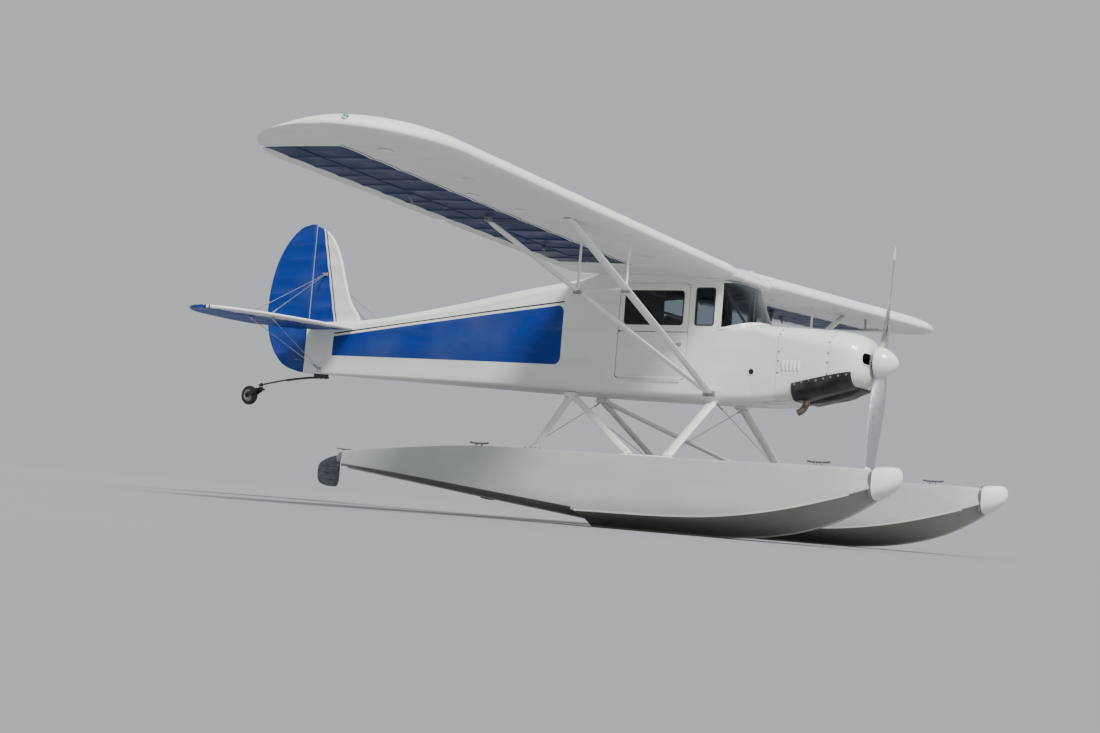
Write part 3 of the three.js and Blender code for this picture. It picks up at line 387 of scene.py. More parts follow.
def wedge_paint(tree, ground):
    """The blue side wedge with its pin line, over the ground colour."""
    x, _, z = axes_of(tree)
    station = less(HUB_X, x)
    top = ramp(station, WEDGE_FRONT, WEDGE_BACK, *WEDGE_TOP)
    low = ramp(station, WEDGE_FRONT, WEDGE_BACK, *WEDGE_LOW)
    short = calc("MAXIMUM", less(WEDGE_FRONT + WEDGE_CORNER, station), 0.0)
    rest = calc("MAXIMUM", less(WEDGE_CORNER ** 2, calc("MULTIPLY", short, short)), 0.0)
    rounding = less(WEDGE_CORNER, calc("SQRT", rest))
    along = both(above(station, WEDGE_FRONT), above(less(WEDGE_BACK, station)))
    wedge = both(along, above(less(less(top, z), rounding)), above(less(less(z, low), rounding)))
    over = less(less(z, top), PIN_GAP)
    pin = both(along, above(over), above(less(PIN_WIDTH, over)))
    return mixed(pin, mixed(wedge, ground, ROYAL_BLUE), PIN_BLACK)


def stringer_ring(station):
    """A rear section whose cloth runs straight over stringers, sinking between them."""
    half, bottom, shoulder, crown, corner = faired(REAR_FRAMES, station)
    grip = held((station - TAUT_FROM) / 0.35) * held((TAUT_TO - station) / 0.9, 0.15)
    ring = []
    for bay in range(DECK_STRINGERS):
        ends = [arch(pi * i / DECK_STRINGERS, half, shoulder, crown) for i in (bay, bay + 1)]
        for t in (0.0, 0.25, 0.5, 0.75):
            arched = arch(pi * (bay + t) / DECK_STRINGERS, half, shoulder, crown)
            flat = [first + (second - first) * t for first, second in zip(*ends)]
            y, z = [free + (held_by - free) * grip for free, held_by in zip(arched, flat)]
            sag = grip * DECK_SAG * 4 * t * (1 - t)
            ring.append(at(station, y * (1 - sag / max(half, 0.05)), z - sag))
    ring.append(at(station, -half, shoulder))
    down = [(half + push * SIDE_STRINGER * grip, shoulder + (bottom + corner - shoulder) * (i + 1) / 8)
            for i, push in enumerate(SIDE_BULGE)]
    down += belly_corner(half, bottom, corner)[1:]
    sides = both_sides(station, down)
    return ring + sides[:len(down)] + [at(station, 0, bottom - BELLY_SAG * grip)] + sides[len(down):]


fuselage_cloth, tree, shader = doped_cloth("fuselage_cloth")
coloured(shader, weathered(tree, wedge_paint(tree, WHITE_DOPE)))

loft("rear_fuselage_cloth", [stringer_ring(s) for s in spaced(2.840, 6.190, 40)], fuselage_cloth, crease=50,
     slot="white_fabric", replaces=("rear_fuselage",))


# Small raised work shared by the pieces: tubes along a route, turned parts, blocks with eased edges
# and fastener heads, each as points and faces that are gathered into one mesh a group.
def circle(sides):
    """Cosine and sine of evenly spaced angles, once round."""
    return [(cos(2 * pi * k / sides), sin(2 * pi * k / sides)) for k in range(sides)]


def tube(route, radius, sides=10, bore=0.0, looped=False, flat=1.0):
    """A round tube along a route, solid or with a bore; flat squeezes it upright."""
    route = [Vector(point) for point in route]
    rings, inner = [], []
    count = len(route)
    normal = None
    for i, point in enumerate(route):
        if looped:
            along = (route[(i + 1) % count] - route[i - 1]).normalized()
        else:
            along = (route[min(i + 1, count - 1)] - route[max(i - 1, 0)]).normalized()
        if normal is None:
            normal = along.orthogonal().normalized()
        normal = (normal - along * normal.dot(along)).normalized()
        side = along.cross(normal)
        for reach, rows in ((radius, rings), (bore, inner)):
            if reach:
                rows.append([point + normal * (reach * c) + side * (reach * flat * s)
                             for c, s in circle(sides)])
    if bore:
        return skinned(rings + inner[::-1], looped=True)
    return skinned(rings, looped=looped)


def turned(profile, centre, axis, sides=24):
    """A turned part: (along, radius) pairs about an axis through a centre."""
    centre, axis = Vector(centre), Vector(axis).normalized()
    normal = axis.orthogonal().normalized()
    side = axis.cross(normal)
    rings = []
    for along, radius in profile:
        reach = max(radius, 2e-6)
        rings.append([centre + axis * along + normal * (reach * c) + side * (reach * s)
                      for c, s in circle(sides)])
    return skinned(rings)


def head(place, outward, radius=0.004, sides=8):
    """A domed fastener head standing on a surface."""
    return turned([(-radius * 0.5, radius), (radius * 0.25, radius * 0.9), (radius * 0.5, radius * 0.45)],
                  place, outward, sides)


def nut(place, outward, radius, height, bevel=0.002, sides=6):
    """A nut or a bolt's head, bevelled round its top."""
    return turned([(0, radius), (height, radius), (height + bevel, radius - 0.003)], place, outward, sides)


def block(centre, size, ease=0.004, turn=None):
    """A block with eased edges."""
    half = Vector(size) / 2
    ease = min(ease, min(half) * 0.9)
    rings = []
    for up, inset in ((-half.z, ease), (ease - half.z, 0), (half.z - ease, 0), (half.z, ease)):
        ring = []
        for sx, sy in ((1, 1), (-1, 1), (-1, -1), (1, -1)):
            long, wide = half.x - inset, half.y - inset
            pair = [(sx * long, sy * (wide - ease)), (sx * (long - ease), sy * wide)]
            ring += [Vector((x, y, up)) for x, y in (pair if sx * sy > 0 else pair[::-1])]
        rings.append(ring)
    turn = turn or Matrix.Identity(3)
    return skinned([[turn @ point + Vector(centre) for point in ring] for ring in rings])


def gathered(name, parts, finish, body="airframe", **ways):
    """Several closed meshes as one piece."""
    points, faces = [], []
    for part_points, part_faces in parts:
        start = len(points)
        points += part_points
        faces += [tuple(start + index for index in face) for face in part_faces]
    return piece(name, points, faces, finish, body, **ways)


def applied(made):
    """Takes the modifiers into the mesh."""
    bpy.context.view_layer.update()
    shaped = bpy.data.meshes.new_from_object(made.evaluated_get(bpy.context.evaluated_depsgraph_get()))
    made.modifiers.clear()
    made.data = shaped


def carve(target, *cutters, crease=35):
    """Cuts closed meshes, given as points and faces, out of a piece."""
    tools = []
    for points, faces in cutters:
        tool = bpy.data.objects.new("cutter", closed_mesh("cutter", points, faces))
        bpy.context.scene.collection.objects.link(tool)
        cut = target.modifiers.new("cut", "BOOLEAN")
        cut.solver = "EXACT"
        cut.object = tool
        tools.append(tool)
    applied(target)
    target.data.shade_smooth()
    target.data.set_sharp_from_angle(angle=radians(crease))
    for tool in tools:
        bpy.data.objects.remove(tool)


# Shape work for cast and sheet fittings: outlines rounded through their points, flat plates with
# eased edges, and closed rings such as tyres.
def smooth_outline(points, steps=4):
    """A closed outline of pairs, rounded through its points."""
    count = len(points)
    outline = []
    for i in range(count):
        a, b, c, d = (Vector(points[(i + k) % count]) for k in (-1, 0, 1, 2))
        for step in range(steps):
            t = step / steps
            outline.append(0.5 * (2 * b + (c - a) * t + (2 * a - 5 * b + 4 * c - d) * t**2
                                  + (3 * b - a - 3 * c + d) * t**3))
    return outline


def plate(outline, low, high, spot, ease=0.0015):
    """A flat plate with eased edges: an outline of pairs between two levels, placed by spot."""
    outline = [Vector(pair) for pair in outline]
    count = len(outline)
    area = sum(outline[i - 1].cross(outline[i]) for i in range(count))
    turn = copysign(1, area)
    inset = []
    for i, pair in enumerate(outline):
        along = (outline[(i + 1) % count] - outline[i - 1]).normalized()
        inset.append(pair + Vector((-along.y, along.x)) * ease * turn)
    levels = ((low, inset), (low + ease, outline), (high - ease, outline), (high, inset))
    return skinned([[spot(pair.x, pair.y, level) for pair in row] for level, row in levels])


def rolled(profile, centre, axis, sides=40):
    """A ring: a closed profile of (along, radius) pairs carried round an axis."""
    centre, axis = Vector(centre), Vector(axis).normalized()
    normal = axis.orthogonal().normalized()
    side = axis.cross(normal)
    rings = []
    for c, s in circle(sides):
        out = normal * c + side * s
        rings.append([centre + axis * along + out * radius for along, radius in profile])
    return skinned(rings, looped=True)


# Nose bowl, cowling and boot cowl: sheet metal, painted with the fuselage. The bowl is spun with two
# air inlets beside the spinner, the cowling is hinged along its top, and the boot cowl is riveted.
FORWARD_FRAMES = [
    # station, half width, bottom, shoulder, crown, corner radius
    (0.062, 0.218, 1.422, 1.560, 1.690, 0.100),
    (0.084, 0.260, 1.382, 1.570, 1.732, 0.125),
    (0.140, 0.305, 1.345, 1.585, 1.775, 0.150),
    (0.220, 0.332, 1.315, 1.600, 1.800, 0.150),
    (0.330, 0.344, 1.280, 1.615, 1.815, 0.140),
    (0.560, 0.354, 1.222, 1.655, 1.830, 0.125),
    (0.800, 0.358, 1.175, 1.700, 1.842, 0.100),
    (1.030, 0.358, 1.160, 1.765, 1.852, 0.070),
]
THRUST_HEIGHT = 1.560
COWL_WALL = 0.010
INLET_OUT, INLET_HALF, INLET_LOW, INLET_HIGH = 0.172, 0.082, 1.520, 1.622
INLET_CORNER = 0.036
SEAM = 0.003
COWL_PAINT = (0.83, 0.815, 0.765)
OIL = (0.10, 0.075, 0.045)
OIL_HIGH, OIL_LOW = 1.38, 1.20
OIL_FROM, OIL_FULL = 0.35, 0.65


def cowl_rings(start, end, count, grow=0.0):
    return [hull_ring(s, *faired(FORWARD_FRAMES, held(s, 0.062, 1.03)), grow=grow)
            for s in spaced(start, end, count)]


def rounded_outline(across, low, high, half, corner, steps=5):
    """A rounded rectangle of (y, z) points, from a middle, a height range and a half width."""
    outline = []
    for sy, z, quarter in ((1, high, 0), (-1, high, 1), (-1, low, 2), (1, low, 3)):
        sz = 1 if quarter < 2 else -1
        for i in range(steps + 1):
            angle = pi / 2 * (quarter + i / steps)
            outline.append((across + sy * (half - corner) + corner * cos(angle),
                            z - sz * corner + corner * sin(angle)))
    return outline


cowl_enamel, tree, shader = new_finish("cowl_enamel", 0.26)
shader.inputs["Coat Weight"].default_value = 0.4
shader.inputs["Coat Roughness"].default_value = 0.08
x, _, z = axes_of(tree)
aft = ramp(less(HUB_X, x), OIL_FROM, OIL_FULL)
streaks = ramp(speckle(tree, 7.0, 5.0, stretch=(0.12, 1.5, 1.5)), 0.46, 0.68, 0.0, 0.55)
oiled = both(streaks, ramp(z, OIL_HIGH, OIL_LOW), aft)
coloured(shader, mixed(oiled, weathered(tree, COWL_PAINT), OIL))
glossed(shader, 12.0, 0.2, 0.33)
relief(shader, speckle(tree, 260.0, 1.0), 0.00012)

bowl_rings = ([hull_ring(s, *faired(FORWARD_FRAMES, s)) for s in (0.062, 0.064, 0.069, 0.076)]
              + cowl_rings(0.086, 0.330 - SEAM / 2, 16))
bowl = loft("nose_bowl_shell", bowl_rings, cowl_enamel, slot="cowl_paint", replaces=("nose_bowl",))
bowl_surface = BVHTree.FromPolygons([v.co for v in bowl.data.vertices],
                                    [p.vertices for p in bowl.data.polygons])
inlet_tools, inlet_lips = [], []
for side in (-1, 1):
    outline = rounded_outline(side * INLET_OUT, INLET_LOW, INLET_HIGH, INLET_HALF, INLET_CORNER)
    inlet_tools.append(skinned([[at(s, y, z) for y, z in outline] for s in (0.03, 0.2)]))
    lip = []
    for y, z in outline:
        hit = bowl_surface.ray_cast(at(-0.2, y, z), Vector((-1, 0, 0)))[0]
        lip.append(hit + Vector((0.001, 0, 0)))
    inlet_lips.append(tube(lip, 0.0055, sides=8, looped=True))
carve(bowl, skinned(cowl_rings(0.074, 0.345, 12, -COWL_WALL)),
      turned([(0, 0.080), (0.08, 0.080)], at(0.12, 0, THRUST_HEIGHT), (1, 0, 0), 40), *inlet_tools)
gathered("inlet_lips", inlet_lips, cowl_enamel, slot="cowl_paint")

cowling = loft("cowling_panels", cowl_rings(0.330 + SEAM / 2, 0.800 - SEAM / 2, 16), cowl_enamel,
               slot="cowl_paint", replaces=("cowling",))
carve(cowling, skinned(cowl_rings(0.300, 0.830, 16, -COWL_WALL)))
boot = loft("boot_cowl_skin", cowl_rings(0.800 + SEAM / 2, 1.0297, 10), cowl_enamel,
            slot="cowl_paint", replaces=("boot_cowl",))
carve(boot, skinned(cowl_rings(0.812, 1.060, 8, -COWL_WALL)))

# Engine: one plain block on its crankshaft. Air-cooled cylinders with fins and a black baffle show
# through the inlets, and the exhaust comes out under the right side.
CYLINDER = (0.27, 0.20, 1.575)
FINS, FIN_PITCH = 9, 0.014
BAFFLE_HEIGHTS = (1.66, 1.49)
EXHAUST_ROUTE = [(0.560, -0.190, 1.290), (0.566, -0.193, 1.22), (0.575, -0.197, 1.165),
                 (0.592, -0.201, 1.130), (0.615, -0.203, 1.110), (0.640, -0.205, 1.098)]


def metal(name, colour, roughness, grain=40.0, spread=0.35, metallic=1.0):
    """Bare or plated metal with cloudy wear in its colour and gloss."""
    finish, tree, shader = new_finish(name, roughness, metallic)
    wear = speckle(tree, grain, 5.0)
    dark = tuple(channel * (1 - spread) for channel in colour)
    coloured(shader, mixed(ramp(wear, 0.35, 0.7), colour, dark))
    feed(shader.inputs["Roughness"], ramp(wear, 0.3, 0.75, roughness * 0.8, min(1, roughness * 1.4)))
    relief(shader, speckle(tree, grain * 8, 2.0), 0.0001)
    return finish


engine_iron = metal("engine_iron", (0.09, 0.088, 0.084), 0.62, 30.0, 0.5, 0.7)
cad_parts["engine_block"].material_slots[0].material = engine_iron
fins = []
for side in (-1, 1):
    centre = at(CYLINDER[0], side * CYLINDER[1], CYLINDER[2])
    for i in range(FINS):
        out = Vector((0, side * (i - FINS / 2) * FIN_PITCH, 0))
        fins.append(turned([(-0.0016, 0.052), (0.0016, 0.052)], centre + out, (0, 1, 0), 28))
    fins.append(turned([(-0.07, 0.040), (0.07, 0.040)], centre, (0, 1, 0), 24))
gathered("cylinder_fins", fins, engine_iron, slot="engine_iron")

baffle_black = clouded("baffle_black", 0.7, (30.0,), (0.012, 0.012, 0.013), (0.03, 0.03, 0.03))
baffles = [block(at(0.225, side * 0.165, z), (0.12, 0.20, 0.003)) for z in BAFFLE_HEIGHTS
           for side in (-1, 1)]
gathered("inlet_baffles", baffles, baffle_black, slot="black_plastic")

pipe_metal = metal("exhaust_steel", (0.33, 0.27, 0.22), 0.5, 22.0, 0.55)
gathered("exhaust_pipe", [tube([at(*row) for row in EXHAUST_ROUTE], 0.029, 24, bore=0.026)],
         pipe_metal, slot="bare_steel", replaces=("exhaust_stack",))

# Propeller and spinner: two forged aluminium blades on a hub, brushed bright and painted white at the
# tips, with a spun spinner screwed to its backplate.
BLADES = [
    # radius, chord, thickness, pitch in degrees
    (0.060, 0.090, 0.060, 62),
    (0.220, 0.140, 0.034, 44),
    (0.480, 0.165, 0.022, 27),
    (0.760, 0.145, 0.015, 18),
    (0.960, 0.100, 0.010, 14),
    (1.020, 0.045, 0.006, 13),
]
BLADE_REST = radians(8)
HUB_RADIUS = 0.078
SPINNER_TIP, SPINNER_LENGTH, SPINNER_RADIUS = 0.150, 0.180, 0.142
SPINNER_SCREWS = 16
TIP_PAINT = 0.90


def blade(turn):
    """One blade, from inside the hub to its rounded tip."""
    out = Vector((0, sin(turn), cos(turn)))
    fore = Vector((1, 0, 0))
    across = fore.cross(out)
    rings = []
    for radius in spaced(0.060, 0.960, 22) + [0.98, 0.995, 1.007, 1.015, 1.020]:
        chord, thick, pitch = faired(BLADES, radius)
        tilt = radians(pitch)
        lengthwise = across * cos(tilt) + fore * sin(tilt)
        through = fore * cos(tilt) - across * sin(tilt)
        centre = at(0, 0, THRUST_HEIGHT) + out * radius
        rings.append([centre + lengthwise * (chord / 2 * c) + through * (thick / 2 * s)
                      for c, s in circle(28)])
    return skinned(rings)


blade_alloy, tree, shader = new_finish("blade_alloy", 0.3, 0.9)
_, y, z = axes_of(tree)
rise = calc("ABSOLUTE", less(z, THRUST_HEIGHT))
square = calc("ADD", calc("MULTIPLY", y, y), calc("POWER", rise, 2.0))
reach = calc("SQRT", square)
tip = above(reach, TIP_PAINT)
brushed = mixed(speckle(tree, 60.0, 4.0), (0.62, 0.63, 0.65), (0.42, 0.43, 0.45))
coloured(shader, mixed(tip, brushed, (0.80, 0.79, 0.76)))
feed(shader.inputs["Metallic"], less(0.9, calc("MULTIPLY", tip, 0.9)))
glossed(shader, 20.0, 0.22, 0.4)
relief(shader, speckle(tree, 500.0, 2.0), 0.00008)
hub_line = [(-0.046, HUB_RADIUS - 0.004), (-0.042, HUB_RADIUS), (0.034, HUB_RADIUS),
            (0.038, HUB_RADIUS - 0.004)]
hub = turned(hub_line, at(0, 0, THRUST_HEIGHT), (1, 0, 0), 40)
gathered("propeller_blades", [blade(BLADE_REST), blade(BLADE_REST + pi), hub], blade_alloy,
         "airscrew", slot="propeller_metal", replaces=("propeller",))

spinner_paint, tree, shader = new_finish("spinner_paint", 0.18)
shader.inputs["Coat Weight"].default_value = 0.6
coloured(shader, weathered(tree, COWL_PAINT, most=0.08))
relief(shader, speckle(tree, 240.0, 1.0), 0.0001)
dome = [(SPINNER_TIP - SPINNER_LENGTH * t, SPINNER_RADIUS * (1 - (1 - t) ** 1.8) ** 0.70)
        for t in spaced(0.0, 1.0, 24)]
shell = dome + [(-0.030, 0.132), (0.0, 0.118), (0.0, 0.0)]
gathered("spinner_shell", [turned(shell, at(0, 0, THRUST_HEIGHT), (1, 0, 0), 56)], spinner_paint, "airscrew",
         slot="cowl_paint", replaces=("spinner",))
screw_steel = metal("screw_steel", (0.5, 0.5, 0.5), 0.35)
spinner_screws = []
for k in range(SPINNER_SCREWS):
    angle = 2 * pi * (k + 0.5) / SPINNER_SCREWS
    out = Vector((0, sin(angle), cos(angle)))
    spinner_screws.append(head(at(0.022, 0, THRUST_HEIGHT) + out * (SPINNER_RADIUS + 0.0005), out, 0.0035))
gathered("spinner_screws", spinner_screws, screw_steel, "airscrew", slot="bare_steel")

# Chin pan: a black moulded duct under the cowling that takes cooling air to the carburettor and oil.
CHIN_SECTIONS = [
    # station, half width, low, rim
    (0.150, 0.110, 1.312, 1.452),
    (0.230, 0.125, 1.262, 1.436),
    (0.420, 0.125, 1.212, 1.392),
    (0.650, 0.085, 1.180, 1.334),
]
CHIN_MOUTH = (0.082, 1.322, 1.390, 0.016)
CHIN_CORNER = 0.048
CHIN_SKIN = 0.015
CHIN_SPLIT = 1.42


def duct_ring(station, size):
    half, low, _ = faired(CHIN_SECTIONS, station)
    outline = rounded_outline(0, low, CHIN_SPLIT, half, CHIN_CORNER, 7)
    return [at(station, y * size, CHIN_SPLIT + (z - CHIN_SPLIT) * size) for y, z in outline]


def chin_wrap(station, grow):
    """The cowling's lower outline from rim to rim, standing out by grow."""
    half, bottom, _, _, corner = faired(FORWARD_FRAMES, station)
    rim = faired(CHIN_SECTIONS, station)[2]
    centre, radius = bottom + corner, corner + grow
    start = asin(held((centre - rim) / radius, 0.0, 0.95))
    lower = [(half + grow if rim > centre else half - corner + radius * cos(start), rim)]
    lower += [(half - corner + radius * cos(a), centre - radius * sin(a))
              for a in spaced(start + 0.02, pi / 2, 12)]
    return both_sides(station, lower)


pan_black, tree, shader = new_finish("pan_black", 0.38)
clouds = ramp(speckle(tree, 9.0, 5.0), 0.45, 0.75)
coloured(shader, mixed(clouds, (0.013, 0.013, 0.014), (0.055, 0.052, 0.048)))
glossed(shader, 14.0, 0.3, 0.5)
relief(shader, speckle(tree, 220.0, 2.0), 0.0003)
rows = [(0.1505, 0.93), (0.153, 0.96), (0.158, 0.982), (0.166, 0.995), (0.176, 1.0)]
rows += [(s, 1.0) for s in spaced(0.190, 0.636, 20)] + [(0.643, 0.985), (0.648, 0.95), (0.650, 0.90)]
pan = loft("chin_pan", [duct_ring(*row) for row in rows], pan_black, slot="black_plastic",
           replaces=("chin_scoop",))
rows = [(0.150, 0.35), (0.152, 0.8), (0.156, 1)] + [(s, 1) for s in spaced(0.164, 0.640, 26)]
rows += [(0.648, 1), (0.650, 0.4)]
wraps = [chin_wrap(s, CHIN_SKIN * size) + chin_wrap(s, -0.003)[::-1] for s, size in rows]
loft("chin_pan_wrap", wraps, pan_black, crease=40, slot="black_plastic")
mouth = rounded_outline(0, CHIN_MOUTH[1], CHIN_MOUTH[2], CHIN_MOUTH[0], CHIN_MOUTH[3])
carve(pan, skinned([[at(s, y, z) for y, z in mouth] for s in (0.10, 0.215)]))
lip = [tube([at(0.1515, y, z) for y, z in mouth], 0.005, 8, looped=True)]
lip += [block(at(0.19, 0, z), (0.004, 0.160, 0.003), 0.001) for z in (1.339, 1.356, 1.373)]
gathered("chin_pan_lip", lip, pan_black, slot="black_plastic")

# Cowling hardware: the top hinge, quarter-turn fasteners, louvres, an oil door on each shoulder, the
# boot cowl's rivet rows, the bowl's screws and a round cabin vent on each side.
HINGE_RUN, HINGE_KNUCKLES, HINGE_ROUND = (0.338, 0.792), 22, 0.0042
OIL_DOOR, OIL_DOOR_ANGLES, OIL_DOOR_WIDTH = (0.600, 0.680), {1: 40, -1: 128}, 12
STUD_ANGLES, STUD_HEIGHTS, STUD_STATIONS = (18, 36, 58), (1.42, 1.52, 1.60), (0.345, 0.786)
STUD = [(-0.002, 0.0095), (0.0012, 0.0095), (0.0022, 0.0082), (0.0026, 0.003)]
LOUVRES = [0.585, 0.620, 0.655, 0.690, 0.725]
LOUVRE_LOW, LOUVRE_HIGH, LOUVRE_DEPTH = 1.430, 1.530, 0.0105
RIVET_STATIONS = (0.822, 1.012)
BOWL_SCREWS = 0.316
VENT = (1.030, 1.420)
VENT_RIM = [(-0.002, 0.024), (0.003, 0.025), (0.0042, 0.028), (0.003, 0.033), (-0.002, 0.034)]
VENT_DISC = [(-0.002, 0.0245), (0.0008, 0.0245), (0.0012, 0.004)]


def cowl_point(station, angle, lift=0.0):
    """A point on the arched top of the nose, and the way out from it."""
    half, _, shoulder, crown, _ = faired(FORWARD_FRAMES, station)
    steep = half / max(0.05, crown - shoulder) * 0.6
    spot = at(station, *arch(angle, half + lift, shoulder, crown + lift))
    return spot, Vector((0, cos(angle), sin(angle) * steep)).normalized()


def cowl_top(station, degrees, hand):
    """The same, at an angle up from the side that hand names."""
    return cowl_point(station, radians(degrees if hand > 0 else 180 - degrees))


def cowl_side(station, z, hand):
    """A point on the straight side of the nose, and the way out from it."""
    return at(station, hand * faired(FORWARD_FRAMES, station)[0], z), Vector((0, hand, 0))


def cowl_patch(first, last, start, end, lift):
    """A thin panel that lies on the arched top."""
    angles = spaced(radians(start), radians(end), 8)
    edge = [(a, lift) for a in angles] + [(a, -0.002) for a in reversed(angles)]
    return skinned([[cowl_point(s, a, level)[0] for a, level in edge] for s in spaced(first, last, 8)])


def louvre(station, hand):
    """A pressed louvre on the side of the nose, open to the rear."""
    rings = []
    for t in spaced(0.0, 1.0, 10):
        rise = LOUVRE_DEPTH * sqrt(max(0.0, 1 - (2 * t - 1) ** 2)) + 0.0002
        low = cowl_side(station, LOUVRE_LOW + (LOUVRE_HIGH - LOUVRE_LOW) * t, hand)[0]
        profile = ((0, -0.004), (0.002, rise * 0.15), (0.008, rise * 0.62), (0.016, rise * 0.95),
                   (0.021, rise), (0.0215, rise * 0.9), (0.0215, -0.004))
        rings.append([low + Vector((-x, hand * y, 0)) for x, y in profile])
    return skinned(rings)


panels, studs, rivets = [], [], []
knuckles = spaced(*HINGE_RUN, HINGE_KNUCKLES)
for first, last in zip(knuckles, knuckles[1:]):
    ends = [cowl_point(s, pi / 2, 0.002)[0] for s in (first + 0.0012, last - 0.0012)]
    panels.append(tube(ends, HINGE_ROUND, 10))
panels.append(cowl_patch(*HINGE_RUN, 87.6, 92.4, 0.0012))
for hand, start in OIL_DOOR_ANGLES.items():
    panels.append(cowl_patch(*OIL_DOOR, start, start + OIL_DOOR_WIDTH, 0.0016))
    for s in STUD_STATIONS:
        studs += [cowl_top(s, degrees, hand) for degrees in STUD_ANGLES]
        studs += [cowl_side(s, z, hand) for z in STUD_HEIGHTS]
    for s in spaced(0.18, 0.62, 7):
        rim = faired(CHIN_SECTIONS, s)[2] - 0.018
        near = [point for point in chin_wrap(s, CHIN_SKIN + 0.001) if point.y * hand > 0]
        spot = min(near, key=lambda point: abs(point.z - rim))
        studs.append((spot, Vector((0, hand, -0.35)).normalized()))
    panels += [louvre(s, hand) for s in LOUVRES]
    for s in RIVET_STATIONS:
        rivets += [cowl_side(s, z, hand) for z in spaced(1.27, 1.70, 13)]
        rivets += [cowl_top(s, degrees, hand) for degrees in spaced(16, 84, 8)]
    rivets += [cowl_side(s, 1.275, hand) for s in spaced(0.84, 1.0, 6)]
gathered("cowling_hinge_and_louvres", panels, cowl_enamel, slot="cowl_paint")
stud_parts = []
for spot, out in studs:
    stud_parts.append(turned(STUD, spot, out, 20))
    stud_parts.append(block(spot + out * 0.0026, (0.011, 0.0012, 0.0012), 0.0004))
stud_parts += [head(*cowl_point(BOWL_SCREWS, angle), 0.0034) for angle in spaced(0.0, pi, 17)]
gathered("cowling_fasteners", stud_parts, screw_steel, slot="bare_steel")
gathered("boot_cowl_rivets", [head(*spot, 0.0030, 6) for spot in rivets], cowl_enamel, slot="cowl_paint")
vents = [cowl_side(*VENT, hand) for hand in (-1, 1)]
gathered("cabin_vent_rims", [rolled(VENT_RIM, *vent, 32) for vent in vents], cowl_enamel, slot="cowl_paint")
gathered("cabin_vent_discs", [turned(VENT_DISC, *vent, 28) for vent in vents], pan_black,
         slot="black_plastic")

# Wings: two-spar wooden and metal frames under doped fabric. The cloth is stitched and taped to each
# rib and sinks between them behind the sheet-metal leading edge; the trailing bays hold the coves for
# flaps and ailerons. White, with a blue panel over the rear part from flap to aileron.
SIDES = ((1, "port"), (-1, "starboard"))
LEADING, CHORD = 1.240, 1.600
CHORD_HEIGHT = 2.260
DIHEDRAL = tan(radians(2.2))
ROOT_RIB, TIP_START, HALF_SPAN = 0.382, 4.500, 5.356
CAD_HALF_SPAN = 5.365
HINGE_STATION = LEADING + 1.225
HINGE_NOSE, COVE_RADIUS = 0.051, 0.059
FLAP_SPAN, AILERON_SPAN = (0.470, 2.520), (2.620, 4.860)
COVE_START = 117
COVE_END = {FLAP_SPAN: 222, AILERON_SPAN: 240}
COVE_LIPS = ((0.034, 0.800), (0.027, 0.805))
SIDE_GAP = 0.008
RIB_TAPE, TAPE_RISE = 0.020, 0.0012
WING_SAG = 0.0042
PANEL_INNER, PANEL_OUTER = 0.87, 4.868
PANEL_FRONT, PANEL_BACK = 0.80, 1.475
SKIN_STEPS = 30


def airfoil(share):
    """Lower and upper height, as shares of the chord, at a share of the chord."""
    place, most = 0.4, 0.04
    if share < place:
        camber = most / place**2 * (2 * place * share - share**2)
    else:
        camber = most / (1 - place) ** 2 * (1 - 2 * place + 2 * place * share - share**2)
    half = 0.6 * (0.2969 * sqrt(share) - 0.126 * share - 0.3516 * share**2 + 0.2843 * share**3
                  - 0.1036 * share**4) + 0.0025
    return camber - half, camber + half


def chord_left(y):
    past = max(0.0, (y - TIP_START) / (CAD_HALF_SPAN - TIP_START))
    return sqrt(max(0.0, 1 - min(past, 0.99) ** 2))


def wing_height(y):
    return CHORD_HEIGHT + y * DIHEDRAL


def hinge_height(y):
    return wing_height(y) + 0.025 * CHORD


def leading_edge(y):
    return LEADING + CHORD * (1 - chord_left(y)) * 0.42


def skin_height(y, station, rise=0.0):
    """Heights of the lower and upper skin at a station, with the cloth raised or sunk by rise."""
    chord = CHORD * chord_left(y)
    share = held((station - leading_edge(y)) / chord)
    low, high = airfoil(share)
    cloth = held((share - 0.13) / 0.15) * held((1 - share) / 0.05)
    move = rise * (cloth if rise < 0 else held((share - 0.02) / 0.02))
    return wing_height(y) + chord * low - move, wing_height(y) + chord * high + move


def rib_rows(ribs):
    """Rows across a run of bays: (y, rise) with tape at each rib and the cloth sunk between."""
    rows = []
    for first, second in zip(ribs, ribs[1:]):
        depth = WING_SAG * min(1.0, (second - first) / 0.3)
        rows += [(first, TAPE_RISE), (first + RIB_TAPE, TAPE_RISE), (first + RIB_TAPE + 0.002, 0.0)]
        rows += [(first + (second - first) * t, -depth * 4 * t * (1 - t))
                 for t in (0.2, 0.35, 0.5, 0.65, 0.8)]
        rows += [(second - RIB_TAPE - 0.002, 0.0), (second - RIB_TAPE, TAPE_RISE)]
    return rows + [(ribs[-1], TAPE_RISE)]


def about_hinge(side, y, radius, start, end, steps):
    """Points of an arc round the hinge line, between angles in degrees from aft up over the top."""
    return [at(HINGE_STATION + radius * cos(angle), side * y, hinge_height(y) + radius * sin(angle))
            for angle in spaced(radians(start), radians(end), steps)]


